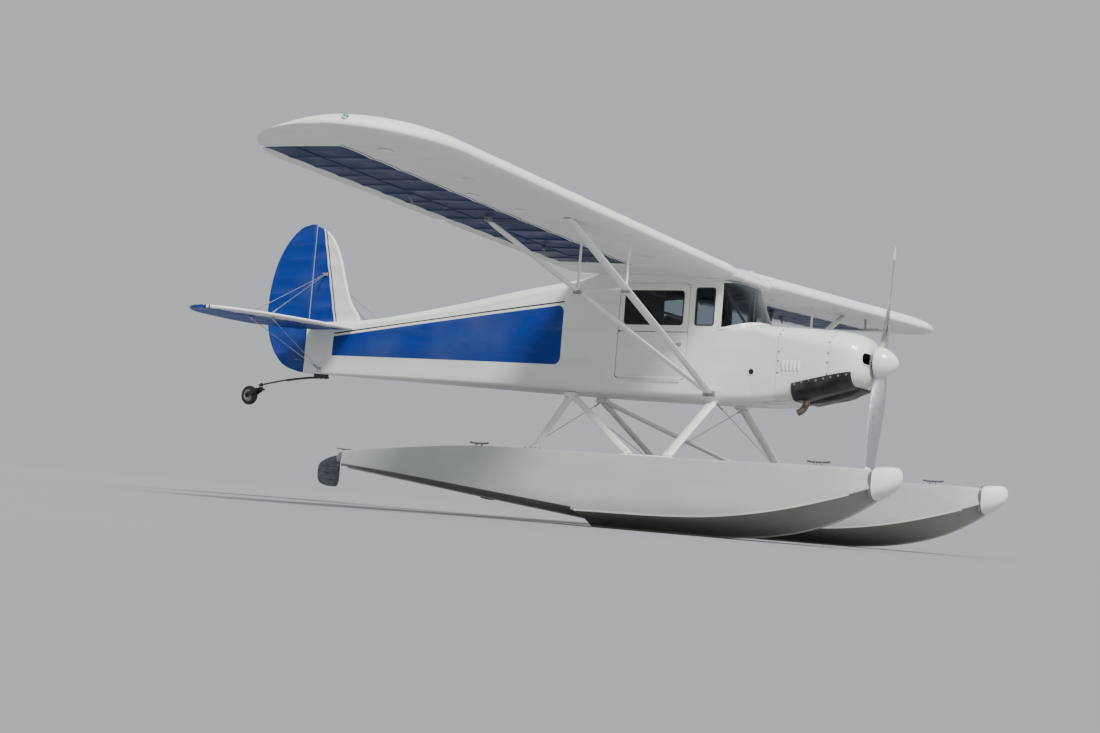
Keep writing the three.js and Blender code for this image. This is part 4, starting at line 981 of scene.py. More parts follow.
def wing_ring(side, y, rise, cove=None):
    """A rib section: lower skin forward, nose, upper skin aft, then the trailing edge or a cove."""
    front, back = leading_edge(y), leading_edge(y) + CHORD * chord_left(y)
    low_lip, high_lip = [min(HINGE_STATION - ahead, front + (back - front) * share)
                         for ahead, share in COVE_LIPS]
    shares = [1 - cos(pi / 2 * i / SKIN_STEPS) for i in range(SKIN_STEPS + 1)]
    outline = [(front + (low_lip - front) * share, 0) for share in reversed(shares)]
    outline += [(front + (high_lip - front) * share, 1) for share in shares]
    if not cove:
        outline += [(high_lip + (back - high_lip) * i / 7, 1) for i in range(1, 8)]
        outline += [(back - (back - low_lip) * i / 7, 0) for i in range(1, 7)]
    ring = [at(s, side * y, skin_height(y, s, rise)[level]) for s, level in outline]
    if cove:
        ring += about_hinge(side, y, COVE_RADIUS, COVE_START, COVE_END[cove], 14)[1:-1]
    return ring


def wing_rings(side):
    flap_edges = [FLAP_SPAN[0] - SIDE_GAP, FLAP_SPAN[1] + SIDE_GAP]
    aileron_edges = [AILERON_SPAN[0] - SIDE_GAP, AILERON_SPAN[1] + SIDE_GAP]
    rings = []
    for rows, cove in ((((ROOT_RIB, 0.0), (flap_edges[0], 0.0)), None),
                       (rib_rows(spaced(*flap_edges, 6)), FLAP_SPAN),
                       (((flap_edges[1], 0.0), (aileron_edges[0], 0.0)), None),
                       (rib_rows(spaced(*aileron_edges, 7)), AILERON_SPAN)):
        rings += [wing_ring(side, y, rise, cove) for y, rise in rows]
    for i in range(15):
        t = sin(pi / 2 * i / 14)
        rings.append(wing_ring(side, aileron_edges[1] + (HALF_SPAN - aileron_edges[1]) * t, 0.0))
    return rings


wing_cloth, tree, shader = doped_cloth("wing_cloth")
x, y, _ = axes_of(tree)
out = calc("ABSOLUTE", y)
aft = less(HUB_X - LEADING, x)
panel, edge = [both(above(out, PANEL_INNER - wider),
                    above(less(PANEL_OUTER + wider, out)),
                    above(aft, PANEL_FRONT - wider), above(less(end, aft)))
               for wider, end in ((0.0, PANEL_BACK), (PIN_GAP + PIN_WIDTH, PANEL_FRONT - PIN_GAP))]
ground = weathered(tree, WHITE_DOPE, most=0.12)
coloured(shader, mixed(edge, mixed(panel, ground, PANEL_BLUE), PIN_BLACK))
for side, word in SIDES:
    loft(f"wing_cloth_{word}", wing_rings(side), wing_cloth, crease=42, slot="white_fabric",
         replaces=(f"wing_{word}",))

# Cabin: fabric over the welded cage from the windscreen posts to the last frame, open for the
# windscreen, side windows, skylight and doorway, and lined with a grey headliner and side panels.
DECK_FRAMES = [
    (1.030, 0.358, 1.160, 1.765, 1.852, 0.070),
    (1.370, 0.358, 1.162, 1.765, 1.852, 0.060),
]
POST = 1.370
WALL = 0.025
QUARTER_WINDOW = (1.420, 1.602, 1.812, 2.140, 0.022)
PORT_WINDOW = (1.692, 2.300, 1.812, 2.140, 0.030)
DOOR_WINDOW = (1.722, 2.306, 1.812, 2.112, 0.030)
DOORWAY = (1.662, 2.366, 1.330, 2.176, 0.030)
DOOR_SPLIT, DOOR_GAP = 1.752, 0.006
SKYLIGHT = (1.480, 2.060, 0.290)
LINING = (0.115, 0.115, 0.12)


def inner_side(tree):
    """One on faces that look into the cabin, zero outside."""
    spot = tree.nodes.new("ShaderNodeTexCoord")
    look, place = tree.nodes.new("ShaderNodeSeparateXYZ"), tree.nodes.new("ShaderNodeSeparateXYZ")
    tree.links.new(spot.outputs["Normal"], look.inputs[0])
    tree.links.new(spot.outputs["Object"], place.inputs[0])
    outward = calc("ADD", calc("MULTIPLY", look.outputs[1], place.outputs[1]),
                   calc("MULTIPLY", look.outputs[2], less(place.outputs[2], 1.75)))
    return ramp(outward, -0.02, -0.05)


def side_outline(window, shrink=0.0):
    """A rounded opening in the cabin side as (station, z) points."""
    front, back, low, high, corner = window
    return rounded_outline((front + back) / 2, low + shrink, high - shrink, (back - front) / 2 - shrink,
                           max(corner - shrink, 0.002), 6)


def side_prism(window, inner, outer, shrink=0.0):
    return skinned([[at(s, y, z) for s, z in side_outline(window, shrink)] for y in (inner, outer)])


cabin_cloth, tree, shader = doped_cloth("cabin_cloth")
painted = weathered(tree, wedge_paint(tree, WHITE_DOPE))
coloured(shader, mixed(inner_side(tree), painted, LINING))

rings = [hull_ring(s, *faired(DECK_FRAMES, s)) for s in spaced(1.030, POST, 6)]
rings += [hull_ring(s, *faired(CABIN_FRAMES, s)) for s in spaced(POST, 2.8397, 24)]
cabin = loft("cabin_cloth_and_posts", rings, cabin_cloth, slot="white_fabric", replaces=("cabin_shell",))
front, back, half = SKYLIGHT
skylight_outline = rounded_outline((front + back) / 2, -half, half, (back - front) / 2, 0.04)
screen_opening = rounded_outline(0, 1.70, 2.180, 0.333, 0.02)
cutters = [
    skinned([hull_ring(s, *faired(DECK_FRAMES, max(s, 1.03)), grow=-WALL)
             for s in spaced(1.0, 1.40, 6)]),
    skinned([hull_ring(s, *faired(CABIN_FRAMES, max(s, POST)), grow=-WALL)
             for s in spaced(1.365, 2.815, 20)]),
    skinned([[at(s, y, z) for y, z in screen_opening] for s in (1.262, 1.40)]),
    skinned([[at(s, y, z) for s, y in skylight_outline] for z in (2.30, 2.50)]),
    side_prism(DOORWAY, -0.40, -0.30),
    side_prism(PORT_WINDOW, 0.30, 0.40),
]
cutters += [side_prism(QUARTER_WINDOW, side * 0.30, side * 0.40) for side in (-1, 1)]
carve(cabin, *cutters, crease=38)

# Nose of the wing over the windscreen: a sheet-metal cover that joins the two leading edges.
CAP_DROP = 0.003
CAP_REACH = 0.1125


def cap_ring(y):
    shares = [CAP_REACH * (1 - cos(pi / 2 * i / 12)) for i in range(13)]
    runs = ((0, shares[::-1]), (1, shares[1:]))
    return [at(LEADING + CHORD * share, y, CHORD_HEIGHT - CAP_DROP + CHORD * airfoil(share)[level])
            for level, run in runs for share in run]


loft("wing_nose_cover", [cap_ring(y) for y in spaced(-0.380, 0.380, 6)], cowl_enamel, slot="cowl_paint")

# Glazing: clear acrylic sheet, faintly smoked. The windscreen is one sheet bent round from post to
# post, held under painted strips; the side panes sit in rubber and the skylight under a screwed frame.
SCREEN_LOW, SCREEN_TOP = (1.005, 1.735), (1.272, 2.235)
SCREEN_HALF = 0.356
SCREEN_POWER = 2 / 2.4
SCREEN_THICK = 0.005
PANES = [
    # name, opening, side, body
    ("window_quarter_starboard", QUARTER_WINDOW, -1, "airframe"),
    ("window_quarter_port", QUARTER_WINDOW, 1, "airframe"),
    ("window_side_port", PORT_WINDOW, 1, "airframe"),
    ("door_window", DOOR_WINDOW, -1, "door_upper"),
]
PANE_OUTER, PANE_INNER = 0.354, 0.349
GASKETS = ((0.3575, 0.006), (0.3335, 0.005))
SHEET_DROPS = (0.0008, 0.006)
STRIP_UP, STRIP_DOWN = Vector((0, 0, 0.010)), Vector((0, 0, -0.012))
SCREW = 0.0032

acrylic, tree, shader = new_finish("smoked_acrylic", 0.04)
shader.inputs["Transmission Weight"].default_value = 1.0
shader.inputs["IOR"].default_value = 1.3
coloured(shader, mixed(speckle(tree, 2.0), (0.42, 0.46, 0.49), (0.37, 0.41, 0.44)))
feed(shader.inputs["Roughness"], ramp(speckle(tree, 30.0), 0.55, 0.8, 0.02, 0.07))


def screen_point(angle, z):
    """A point of the bent windscreen at an angle from the left post round to the right, at a height."""
    climb = (z - SCREEN_LOW[1]) / (SCREEN_TOP[1] - SCREEN_LOW[1])
    front = SCREEN_LOW[0] + (SCREEN_TOP[0] - SCREEN_LOW[0]) * climb
    across = copysign(abs(cos(angle)) ** SCREEN_POWER, cos(angle))
    return at(POST - 0.0005 - (POST - front) * sin(angle) ** SCREEN_POWER, SCREEN_HALF * across, z)


def screen_edge(angle, height_at):
    """Where the sheet meets a surface whose height is known over station and side."""
    z = 1.9
    for _ in range(12):
        spot = screen_point(angle, z)
        z = height_at(HUB_X - spot.x, spot.y)
    return screen_point(angle, z)


def top_height(frames, station, y, lift=0.0):
    """Height of an arched top at a distance from the middle."""
    half, _, shoulder, crown, _ = faired(frames, station)
    fall = max(0.0, 1 - abs(y / half) ** ARCH_ROUND)
    return shoulder + (crown + lift - shoulder) * fall ** (1 / ARCH_ROUND)


def deck_height(station, y):
    return top_height(DECK_FRAMES, held(station, 1.03, POST), y)


def cover_height(station, _):
    share = held((station - LEADING) / CHORD, 0.0005, 0.2)
    return CHORD_HEIGHT - CAP_DROP + CHORD * airfoil(share)[0]


SCREEN_ANGLES = [pi * (1 - cos(pi * i / 64)) / 2 for i in range(65)]
outer_edge = [(screen_edge(a, deck_height), screen_edge(a, cover_height)) for a in SCREEN_ANGLES]
rings = []
for t in spaced(0.0, 1.0, 10):
    outer = [foot.lerp(top, t) for foot, top in outer_edge]
    inner = [point - SCREEN_THICK * Vector((sin(a), copysign(abs(cos(a)), point.y), 0))
             for a, point in zip(SCREEN_ANGLES, outer)]
    rings.append(outer + inner[::-1])
loft("windscreen_sheet", rings, acrylic, crease=50, slot="clear_glazing", replaces=("windscreen",))

rubber = clouded("window_rubber", 0.6, (40.0,), (0.016, 0.016, 0.017), (0.04, 0.04, 0.042),
                 (300.0, 3.0, 0.0003))
for name, window, side, body in PANES:
    points, faces = side_prism(window, side * PANE_INNER, side * PANE_OUTER, 0.0003)
    piece(f"{name}_pane", points, faces, acrylic, body, slot="clear_glazing", replaces=(name,))
    outline = side_outline(window, 0.001)
    rims = [tube([at(s, side * out, z) for s, z in outline], radius, 8, looped=True)
            for out, radius in GASKETS]
    gathered(f"{name}_gasket", rims, rubber, body, slot="bumper_rubber")


def on_roof(station, y, lift=0.0):
    return at(station, y, top_height(CABIN_FRAMES, station, y, lift))


across = [SKYLIGHT[2] * (1 - 2 * i / 20) * 0.999 for i in range(21)]
edge = [(y, -SHEET_DROPS[0]) for y in across] + [(y, -SHEET_DROPS[1]) for y in reversed(across)]
roof = [[on_roof(s, y, lift) for y, lift in edge]
        for s in spaced(SKYLIGHT[0] + 0.0005, SKYLIGHT[1] - 0.0005, 10)]
loft("skylight_sheet", roof, acrylic, crease=50, slot="clear_glazing", replaces=("skylight",))


def flat_strip(route, normals, width, thick, looped=False):
    """A thin strip laid along a route, square to the given outward directions."""
    rings = []
    count = len(route)
    for i, point in enumerate(route):
        before = route[i - 1] if looped or i else point
        after = route[(i + 1) % count] if looped or i + 1 < count else point
        up = normals[i].normalized()
        across = (after - before).normalized().cross(up).normalized() * width / 2
        rings.append([point - across, point - across * 0.9 + up * thick, point + across * 0.9 + up * thick,
                      point + across, point - up * 0.002])
    return skinned(rings, looped=looped)


feet = [foot + STRIP_UP for foot, _ in outer_edge]
tops = [top + STRIP_DOWN for _, top in outer_edge]
out_from = [Vector((sin(a) + 0.05, copysign(abs(cos(a)), foot.y), 0.35)).normalized()
            for a, foot in zip(SCREEN_ANGLES, feet)]
frame_line = [on_roof(s, y, 0.001) for s, y in skylight_outline]
trims = [flat_strip(feet, out_from, 0.026, 0.003), flat_strip(tops, out_from, 0.024, 0.003)]
screws = [head(feet[i] + out_from[i] * 0.003, out_from[i], SCREW) for i in range(2, 63, 3)]
for side in (-1, 1):
    out = Vector((0, side, 0))
    post_line = [at(POST - 0.010, side * 0.3582, z) for z in spaced(1.775, 2.222, 6)]
    trims.append(flat_strip(post_line, [out] * 7, 0.026, 0.003))
    screws += [head(at(POST - 0.010, side * 0.3612, z), out, SCREW) for z in spaced(1.80, 2.20, 8)]
trims.append(flat_strip(frame_line, [Vector((0, 0, 1))] * len(frame_line), 0.028, 0.002, looped=True))
gathered("windscreen_strips", trims, cowl_enamel, slot="cowl_paint")
gathered("windscreen_screws", screws, screw_steel, slot="bare_steel")

# Doors on the right side: the upper leaf swings up under the wing on a piano hinge, the lower leaf
# drops on another; a bright lever on the lower leaf holds both, and hinges and lever are riveted.
DOOR_FRONT, DOOR_BACK, DOOR_CORNER = 1.668, 2.360, 0.024
DOOR_LEAVES = [
    # name, low, high, hinge height, hinge distance out, way from leaf to hinge
    ("door_upper", DOOR_SPLIT, 2.170, 2.182, 0.364, 1),
    ("door_lower", 1.336, DOOR_SPLIT - DOOR_GAP, 1.324, 0.370, -1),
]
DOOR_OUT, DOOR_IN = 0.358, 0.332
DOOR_EDGES = ((DOOR_OUT, 0.004), (DOOR_OUT - 0.0015, 0.001), (DOOR_OUT - 0.004, 0.0), (DOOR_IN + 0.003, 0.0),
              (DOOR_IN, 0.003))
HINGE_RADIUS, HINGE_STRIP = 0.0048, 0.020
LEVER = (1.735, -0.3585, 1.640)
LEVER_BOSS = [(0, 0.017), (0.003, 0.017), (0.005, 0.013), (0.022, 0.010)]
LEVER_ROUTE = [(0, -0.020, 0), (-0.03, -0.026, -0.002), (-0.085, -0.028, -0.006), (-0.105, -0.024, -0.008)]


def door_leaf(name, low, high):
    outline = side_outline((DOOR_FRONT, DOOR_BACK, low, high, DOOR_CORNER))
    middle = Vector((sum(s for s, _ in outline), sum(z for _, z in outline))) / len(outline)
    rings = [[at(s + copysign(inset, middle.x - s), -y, z + copysign(inset, middle.y - z))
              for s, z in outline] for y, inset in DOOR_EDGES]
    return loft(f"{name}_leaf", rings, cabin_cloth, name, crease=30, slot="white_fabric", replaces=(name,))


knuckles = spaced(1.70, 2.33, 21)
for name, low, high, hinge, out, way in DOOR_LEAVES:
    leaf = door_leaf(name, low, high)
    if name == "door_upper":
        carve(leaf, side_prism(DOOR_WINDOW, -0.40, -0.30), crease=30)
    barrels = [tube([at(first + 0.001, -out, hinge), at(second - 0.001, -out, hinge)], HINGE_RADIUS, 10)
               for first, second in zip(knuckles, knuckles[1:])]
    strip = hinge - way * HINGE_STRIP
    moving = barrels[1::2] + [block(at(2.015, -0.3592, strip), (0.63, 0.0022, 0.026), 0.001)]
    moving += [head(at(s, -0.3603, strip), (0, -1, 0), 0.0028) for s in spaced(1.72, 2.31, 12)]
    gathered(f"{name}_hinge", moving, cowl_enamel, name, slot="bare_steel")
    gathered(f"{name}_hinge_fixed", barrels[::2], cowl_enamel, slot="bare_steel")
lever = [turned(LEVER_BOSS, at(*LEVER), (0, -1, 0), 20),
         tube([at(*LEVER) + Vector(step) for step in LEVER_ROUTE], 0.0075, 12, flat=0.6)]
gathered("door_lever", lever, screw_steel, "door_lower", slot="bare_steel")

# Cabin inside: welded tube with a V behind the windscreen, a plywood floor, a painted panel with round
# instruments, and two control sticks with moulded grips.
PANEL = (1.225, 1.245, 0.320, 1.475, 1.827)
INSTRUMENTS = [
    # y, z, radius, needle angle in degrees
    (-0.205, 1.735, 0.040, 40),
    (-0.105, 1.735, 0.040, 150),
    (0.0, 1.742, 0.040, 250),
    (0.105, 1.735, 0.040, 310),
    (0.205, 1.735, 0.040, 95),
    (-0.155, 1.635, 0.029, 200),
    (-0.080, 1.635, 0.029, 20),
    (0.155, 1.635, 0.029, 120),
]
PANEL_KNOBS = [(y, 1.560) for y in (-0.230, -0.180, -0.130, 0.140, 0.190, 0.240)]
RADIOS = (1.625, 1.575)
BEZEL = [(-0.001, 0.86), (-0.004, 0.90), (-0.006, 1.0), (-0.004, 1.10), (0.001, 1.12)]
KNOB = [(0.002, 0.004), (-0.012, 0.004), (-0.012, 0.010), (-0.022, 0.010), (-0.024, 0.007)]
STICKS = (1.440, 2.170)
STICK_BOOT = [(0, 0.034), (0.010, 0.032), (0.016, 0.026), (0.026, 0.026), (0.032, 0.019), (0.044, 0.018),
              (0.050, 0.013), (0.060, 0.012)]
TUBE_RADIUS = 0.0115
DOOR_BAY = (1.66, 2.37)
FLOOR_TOP = 1.232
CAGE = [
    [(1.400, 0.318, 1.250), (1.400, 0.318, 2.200)],
    [(1.400, 0.318, 1.790), (2.800, 0.312, 1.790)],
    [(1.400, 0.318, 1.300), (2.800, 0.312, 1.300)],
    [(1.640, 0.318, 1.300), (1.640, 0.318, 2.200)],
    [(2.385, 0.315, 1.300), (2.385, 0.315, 2.150)],
    [(1.400, 0.314, 2.200), (2.780, 0.300, 2.080)],
]

tube_green = metal("cage_tube_paint", (0.15, 0.16, 0.15), 0.45, 30.0, 0.3, 0.1)
cage = [tube([at(s, y, z) for s, y, z in ends], TUBE_RADIUS, 12) for ends in CAGE]
cage += [tube([at(s, -y, z) for s, y, z in ends], TUBE_RADIUS, 12) for ends in CAGE
         if not DOOR_BAY[0] < ends[0][0] < DOOR_BAY[1]]
cage += [tube([at(1.255, 0, 1.835), at(1.405, side * 0.300, 2.195)], TUBE_RADIUS, 12) for side in (-1, 1)]
cage.append(tube([at(1.405, -0.31, 2.205), at(1.405, 0.31, 2.205)], 0.0125, 12))
cage.append(tube([at(2.280, -0.31, 2.150), at(2.280, 0.31, 2.150)], 0.0125, 12))
for side in (-1, 1):
    for s in (1.135, 1.175):
        cage.append(tube([at(s, side * 0.085, FLOOR_TOP), at(s - 0.01, side * 0.085, 1.36),
                          at(s - 0.01, side * 0.195, 1.37), at(s, side * 0.195, FLOOR_TOP)], 0.008, 10))
gathered("cabin_cage_tubes", cage, tube_green, slot="dark_steel")

plywood, tree, shader = new_finish("floor_plywood", 0.45)
grain = speckle(tree, 4.0, 6.0, stretch=(0.6, 14, 6))
wood = mixed(ramp(grain, 0.35, 0.7), (0.36, 0.22, 0.11), (0.20, 0.115, 0.05))
worn = ramp(speckle(tree, 5.0), 0.5, 0.75, 0, 0.5)
coloured(shader, mixed(worn, wood, (0.10, 0.085, 0.07)))
relief(shader, grain, 0.0004)
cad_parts["cabin_floor"].material_slots[0].material = plywood

panel_paint = clouded("panel_paint", 0.55, (20.0,), (0.035, 0.036, 0.038), (0.055, 0.056, 0.058),
                      (500.0, 2.0, 0.0004))
dial_white = clouded("dial_white", 0.5, (80.0,), (0.78, 0.77, 0.72), (0.62, 0.61, 0.56))
front, back, half, low, high = PANEL
parts = [plate(rounded_outline(0, low, high, half, 0.03), front, back, lambda y, z, s: at(s, y, z), 0.003)]
dials, marks = [], []
for y, z, radius, needle in INSTRUMENTS:
    place = at(back, y, z)
    parts.append(rolled([(along, radius * share) for along, share in BEZEL], place, (1, 0, 0), 32))
    dials.append(turned([(-0.0018, radius * 0.88), (0.001, radius * 0.88)], place, (1, 0, 0), 32))
    hands = [(2 * pi * k / 12, 0.72, -0.0022, (0.0008, radius * 0.16, 0.0016)) for k in range(12)]
    hands.append((radians(needle), 0.28, -0.0032, (0.0009, radius * 0.72, 0.0022)))
    for angle, share, ahead, size in hands:
        spot = place + Vector((ahead, radius * share * cos(angle), radius * share * sin(angle)))
        marks.append(block(spot, size, 0.0003, Matrix.Rotation(angle, 3, "X")))
parts += [block(at(back + 0.006, 0.035, z), (0.012, 0.130, 0.042), 0.003) for z in RADIOS]
knobs = [turned(KNOB, at(back, y, z), (1, 0, 0), 16) for y, z in PANEL_KNOBS]
gathered("instrument_panel_board", parts, panel_paint, slot="black_plastic", replaces=("instrument_panel",))
gathered("instrument_faces", dials, baffle_black, slot="black_plastic")
gathered("instrument_marks", marks, dial_white, slot="cowl_paint")
gathered("panel_knobs", knobs, pan_black, slot="black_plastic")

for s, word in zip(STICKS, ("front", "rear")):
    foot = at(s, 0, FLOOR_TOP)
    bends = [(0, 0.012), (0.006, 0.168), (0.010, 0.298), (0.004, 0.353)]
    stick = [tube([foot + Vector((fore, 0, up)) for fore, up in bends], 0.0108, 14),
             block(foot + Vector((0, 0, 0.013)), (0.070, 0.060, 0.026), 0.005)]
    gathered(f"control_stick_tube_{word}", stick, tube_green, slot="dark_steel",
             replaces=(f"control_stick_{word}",))
    grip = []
    for t in spaced(0.0, 1.0, 16):
        base = at(s - 0.006, 0, 1.555).lerp(at(s + 0.015, 0, 1.645), t)
        radius = 0.0165 + 0.0016 * cos(8 * pi * t) - 0.024 * max(0, t - 0.9)
        grip.append([base + Vector((radius * c, radius * 0.86 * n, 0)) for c, n in circle(16)])
    boot = turned(STICK_BOOT, foot + Vector((0, 0, 0.018)), (0, 0, 1), 24)
    gathered(f"control_stick_grip_{word}", [skinned(grip), boot], rubber, slot="bumper_rubber")

# Seats: a tube frame and two padded cushions in brown leathercloth, stuffed and sewn in upright
# channels, with a lap belt.
SEATS = [("front", 1.530, 1.500), ("rear", 2.290, 1.480)]
SEAT_HALF = 0.205
CUSHION_VOXEL = 0.007
CHANNELS = 5
CUSHION_MOVE = 0.010
CUSHION_LEVELS = ((0.0, 0.014), (0.25, 0.003), (0.5, 0.0), (0.75, 0.003), (1.0, 0.014))
CUSHION_CORNER = 0.045
STUFFING_STEPS = 20
SEAM_DEPTH, SEAM_WIDTH = 0.010, 0.008
SEAT_TUBE = 0.0105
BELT_WIDTH, BELT_THICK = 0.044, 0.0024
LAP_BELT = [
    # distance aft, distance out, height over the seat, way out of the strap: sideways, up
    (0.372, 0.206, -0.080, 1, 0),
    (0.350, 0.206, -0.020, 1, 0.1),
    (0.325, 0.196, 0.004, 0.5, 0.8),
    (0.290, 0.120, 0.010, 0, 1),
    (0.265, 0.040, 0.012, 0, 1),
    (0.262, 0.004, 0.012, 0, 1),
]


def stuffed(name, corners, half, thick):
    """A sewn cushion between two (station, z) corners, blown up as cloth."""
    start, end = Vector(corners[0]), Vector(corners[1])
    along = (end - start).normalized()
    up = Vector((along.y, -along.x)) * (-1 if along.x > 0.5 else 1)
    middle = (end - start).length / 2
    outline = rounded_outline(0, 0.0, middle * 2, half, CUSHION_CORNER, 4)
    rings = []
    for level, inset in CUSHION_LEVELS:
        pull = 1 - inset / half
        ring = []
        for a, b in outline:
            spot = start + along * (middle + (b - middle) * pull) + up * (thick * (level - 0.5))
            ring.append(at(spot.x, a * pull, spot.y))
        rings.append(ring)
    points, faces = skinned(rings)
    made = piece(name, points, faces, leathercloth, crease=70, slot="seat_leather")
    remesh = made.modifiers.new("even_mesh", "REMESH")
    remesh.mode = "VOXEL"
    remesh.voxel_size = CUSHION_VOXEL
    applied(made)
    before = [vertex.co.copy() for vertex in made.data.vertices]
    cloth = made.modifiers.new("stuffing", "CLOTH")
    cloth.settings.use_pressure = True
    cloth.settings.uniform_pressure_force = 4.0
    cloth.settings.effector_weights.gravity = 0.0
    for moment in range(1, STUFFING_STEPS + 1):
        bpy.context.scene.frame_set(moment)
    applied(made)
    bpy.context.scene.frame_set(1)
    normal = Vector((-up.x, 0, up.y))
    pitch = 2 * half / CHANNELS
    for vertex, rest in zip(made.data.vertices, before):
        move = vertex.co - rest
        vertex.co = rest + move * min(1.0, CUSHION_MOVE / max(move.length, 1e-6))
        seam = abs((vertex.co.y + half) / pitch % 1 - 0.5) if abs(vertex.co.y) < half - 0.02 else 0.0
        face = (vertex.co - at((start.x + end.x) / 2, 0, (start.y + end.y) / 2)).dot(normal)
        if face > 0:
            vertex.co -= normal * SEAM_DEPTH * exp(-((0.5 - seam) * pitch / SEAM_WIDTH) ** 2)
    smooth = made.modifiers.new("smooth", "SUBSURF")
    smooth.levels = smooth.render_levels = 1
    applied(made)
    made.data.shade_smooth()
    return made


leathercloth, tree, shader = new_finish("leathercloth", 0.5)
cells = tree.nodes.new("ShaderNodeTexVoronoi")
cells.inputs["Scale"].default_value = 620.0
tree.links.new(tree.nodes.new("ShaderNodeTexCoord").outputs["Object"], cells.inputs["Vector"])
folds = ramp(speckle(tree, 6.0, 5.0), 0.4, 0.75)
coloured(shader, mixed(folds, (0.115, 0.060, 0.034), (0.062, 0.034, 0.021)))
relief(shader, cells.outputs["Distance"], 0.0005)
webbing, tree, shader = new_finish("belt_webbing", 0.8)
x, y, z = axes_of(tree)
across = calc("ADD", x, calc("ADD", y, z))
ribs = calc("SINE", calc("MULTIPLY", across, 2 * pi / 0.004))
coloured(shader, mixed(ramp(ribs, -1, 1), (0.035, 0.036, 0.04), (0.07, 0.07, 0.075)))
relief(shader, ribs, 0.0004)

for word, first, height in SEATS:
    seat = [(first + 0.012, height - 0.052), (first + 0.392, height - 0.062)]
    back = [(first + 0.414, height - 0.010), (first + 0.462, 1.935)]
    cushion = stuffed(f"seat_cushion_{word}", seat, SEAT_HALF - 0.008, 0.062)
    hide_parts(f"seat_{word}")
    stuffed(f"seat_back_{word}", back, SEAT_HALF - 0.012, 0.044)
    rails, belt = [], []
    for side in (-1, 1):
        y = side * (SEAT_HALF - 0.012)
        low, knee = at(first + 0.052, y, height - 0.104), at(first + 0.400, y, height - 0.112)
        rails.append(tube([at(first + 0.052, y, FLOOR_TOP), low, knee, at(first + 0.448, y, height - 0.060),
                           at(first + 0.478, y, 1.925), at(first + 0.470, y * 0.93, 1.948)], SEAT_TUBE, 12))
        rails.append(tube([knee, at(first + 0.400, y, FLOOR_TOP)], SEAT_TUBE, 12))
        route = [at(first + aft, side * out, height + rise) for aft, out, rise, _, _ in LAP_BELT]
        outs = [Vector((0, side * sideways, up)) for _, _, _, sideways, up in LAP_BELT]
        belt.append(flat_strip(route, outs, BELT_WIDTH, BELT_THICK))
    for s, z in ((first + 0.056, height - 0.104), (first + 0.396, height - 0.112), (first + 0.470, 1.942)):
        rails.append(tube([at(s, -SEAT_HALF + 0.014, z), at(s, SEAT_HALF - 0.014, z)], SEAT_TUBE, 12))
    gathered(f"seat_frame_{word}", rails, tube_green, slot="dark_steel")
    buckle = [block(at(first + 0.262, 0, height + 0.016), (0.056, 0.066, 0.010), 0.003),
              block(at(first + 0.262, 0.004, height + 0.023), (0.034, 0.040, 0.006), 0.002)]
    gathered(f"lap_belt_{word}", belt, webbing, slot="black_plastic")
    gathered(f"belt_buckle_{word}", buckle, screw_steel, slot="bare_steel")

# Flaps and ailerons: the same ribs and cloth behind a rounded nose that turns in the wing's cove.
SURFACES = [
    # name, span, rib bays
    ("flap", FLAP_SPAN, 7),
    ("aileron", AILERON_SPAN, 8),
]


def surface_ring(side, y, rise):
    back = leading_edge(y) + CHORD * chord_left(y)
    ring = about_hinge(side, y, HINGE_NOSE, 90, 270, 16)
    aft = spaced(HINGE_STATION, back, 12)
    ring += [at(s, side * y, skin_height(y, s, rise)[0]) for s in aft[1:]]
    return ring + [at(s, side * y, skin_height(y, s, rise)[1]) for s in aft[:0:-1]]


for side, word in SIDES:
    for name, span, bays in SURFACES:
        rings = [surface_ring(side, y, rise) for y, rise in rib_rows(spaced(*span, bays))]
        loft(f"{name}_cloth_{word}", rings, wing_cloth, f"{name}_{word}", crease=42, slot="blue_fabric",
             replaces=(f"{name}_{word}",))

# Lift struts: streamlined steel tubes in a V from the lower longeron to each spar, held halfway by
# thin jury struts, with tapered ends pinned to steel fittings.
LIFT_FOOT = (1.395, 0.382, 1.222)
SPAR_STATIONS = {"front": 1.510, "rear": 2.280}
LIFT_OUT = {"front": 2.760, "rear": 2.680}
JURY_SHARE = 0.62
STRUT_PAINT = (0.82, 0.81, 0.78)
TAPER = ((0, 0.55), (0.012, 0.8), (0.03, 1), (0.97, 1), (0.988, 0.8), (1, 0.55))


def streamlined(start, end, chord, thick, sides=24, ends=((0, 1), (1, 1))):
    """A streamlined tube between two points; ends are (share of length, share of size) pairs."""
    along = (end - start).normalized()
    fore = Vector((1, 0, 0))
    fore = (fore - along * fore.dot(along)).normalized()
    side = along.cross(fore)
    rings = []
    for share, size in ends:
        centre = start.lerp(end, share)
        rings.append([centre + fore * (chord / 2 * c * size)
                      + side * (thick / 2 * s * size * (1 + 0.35 * min(0.0, c))) for c, s in circle(sides)])
    return skinned(rings)


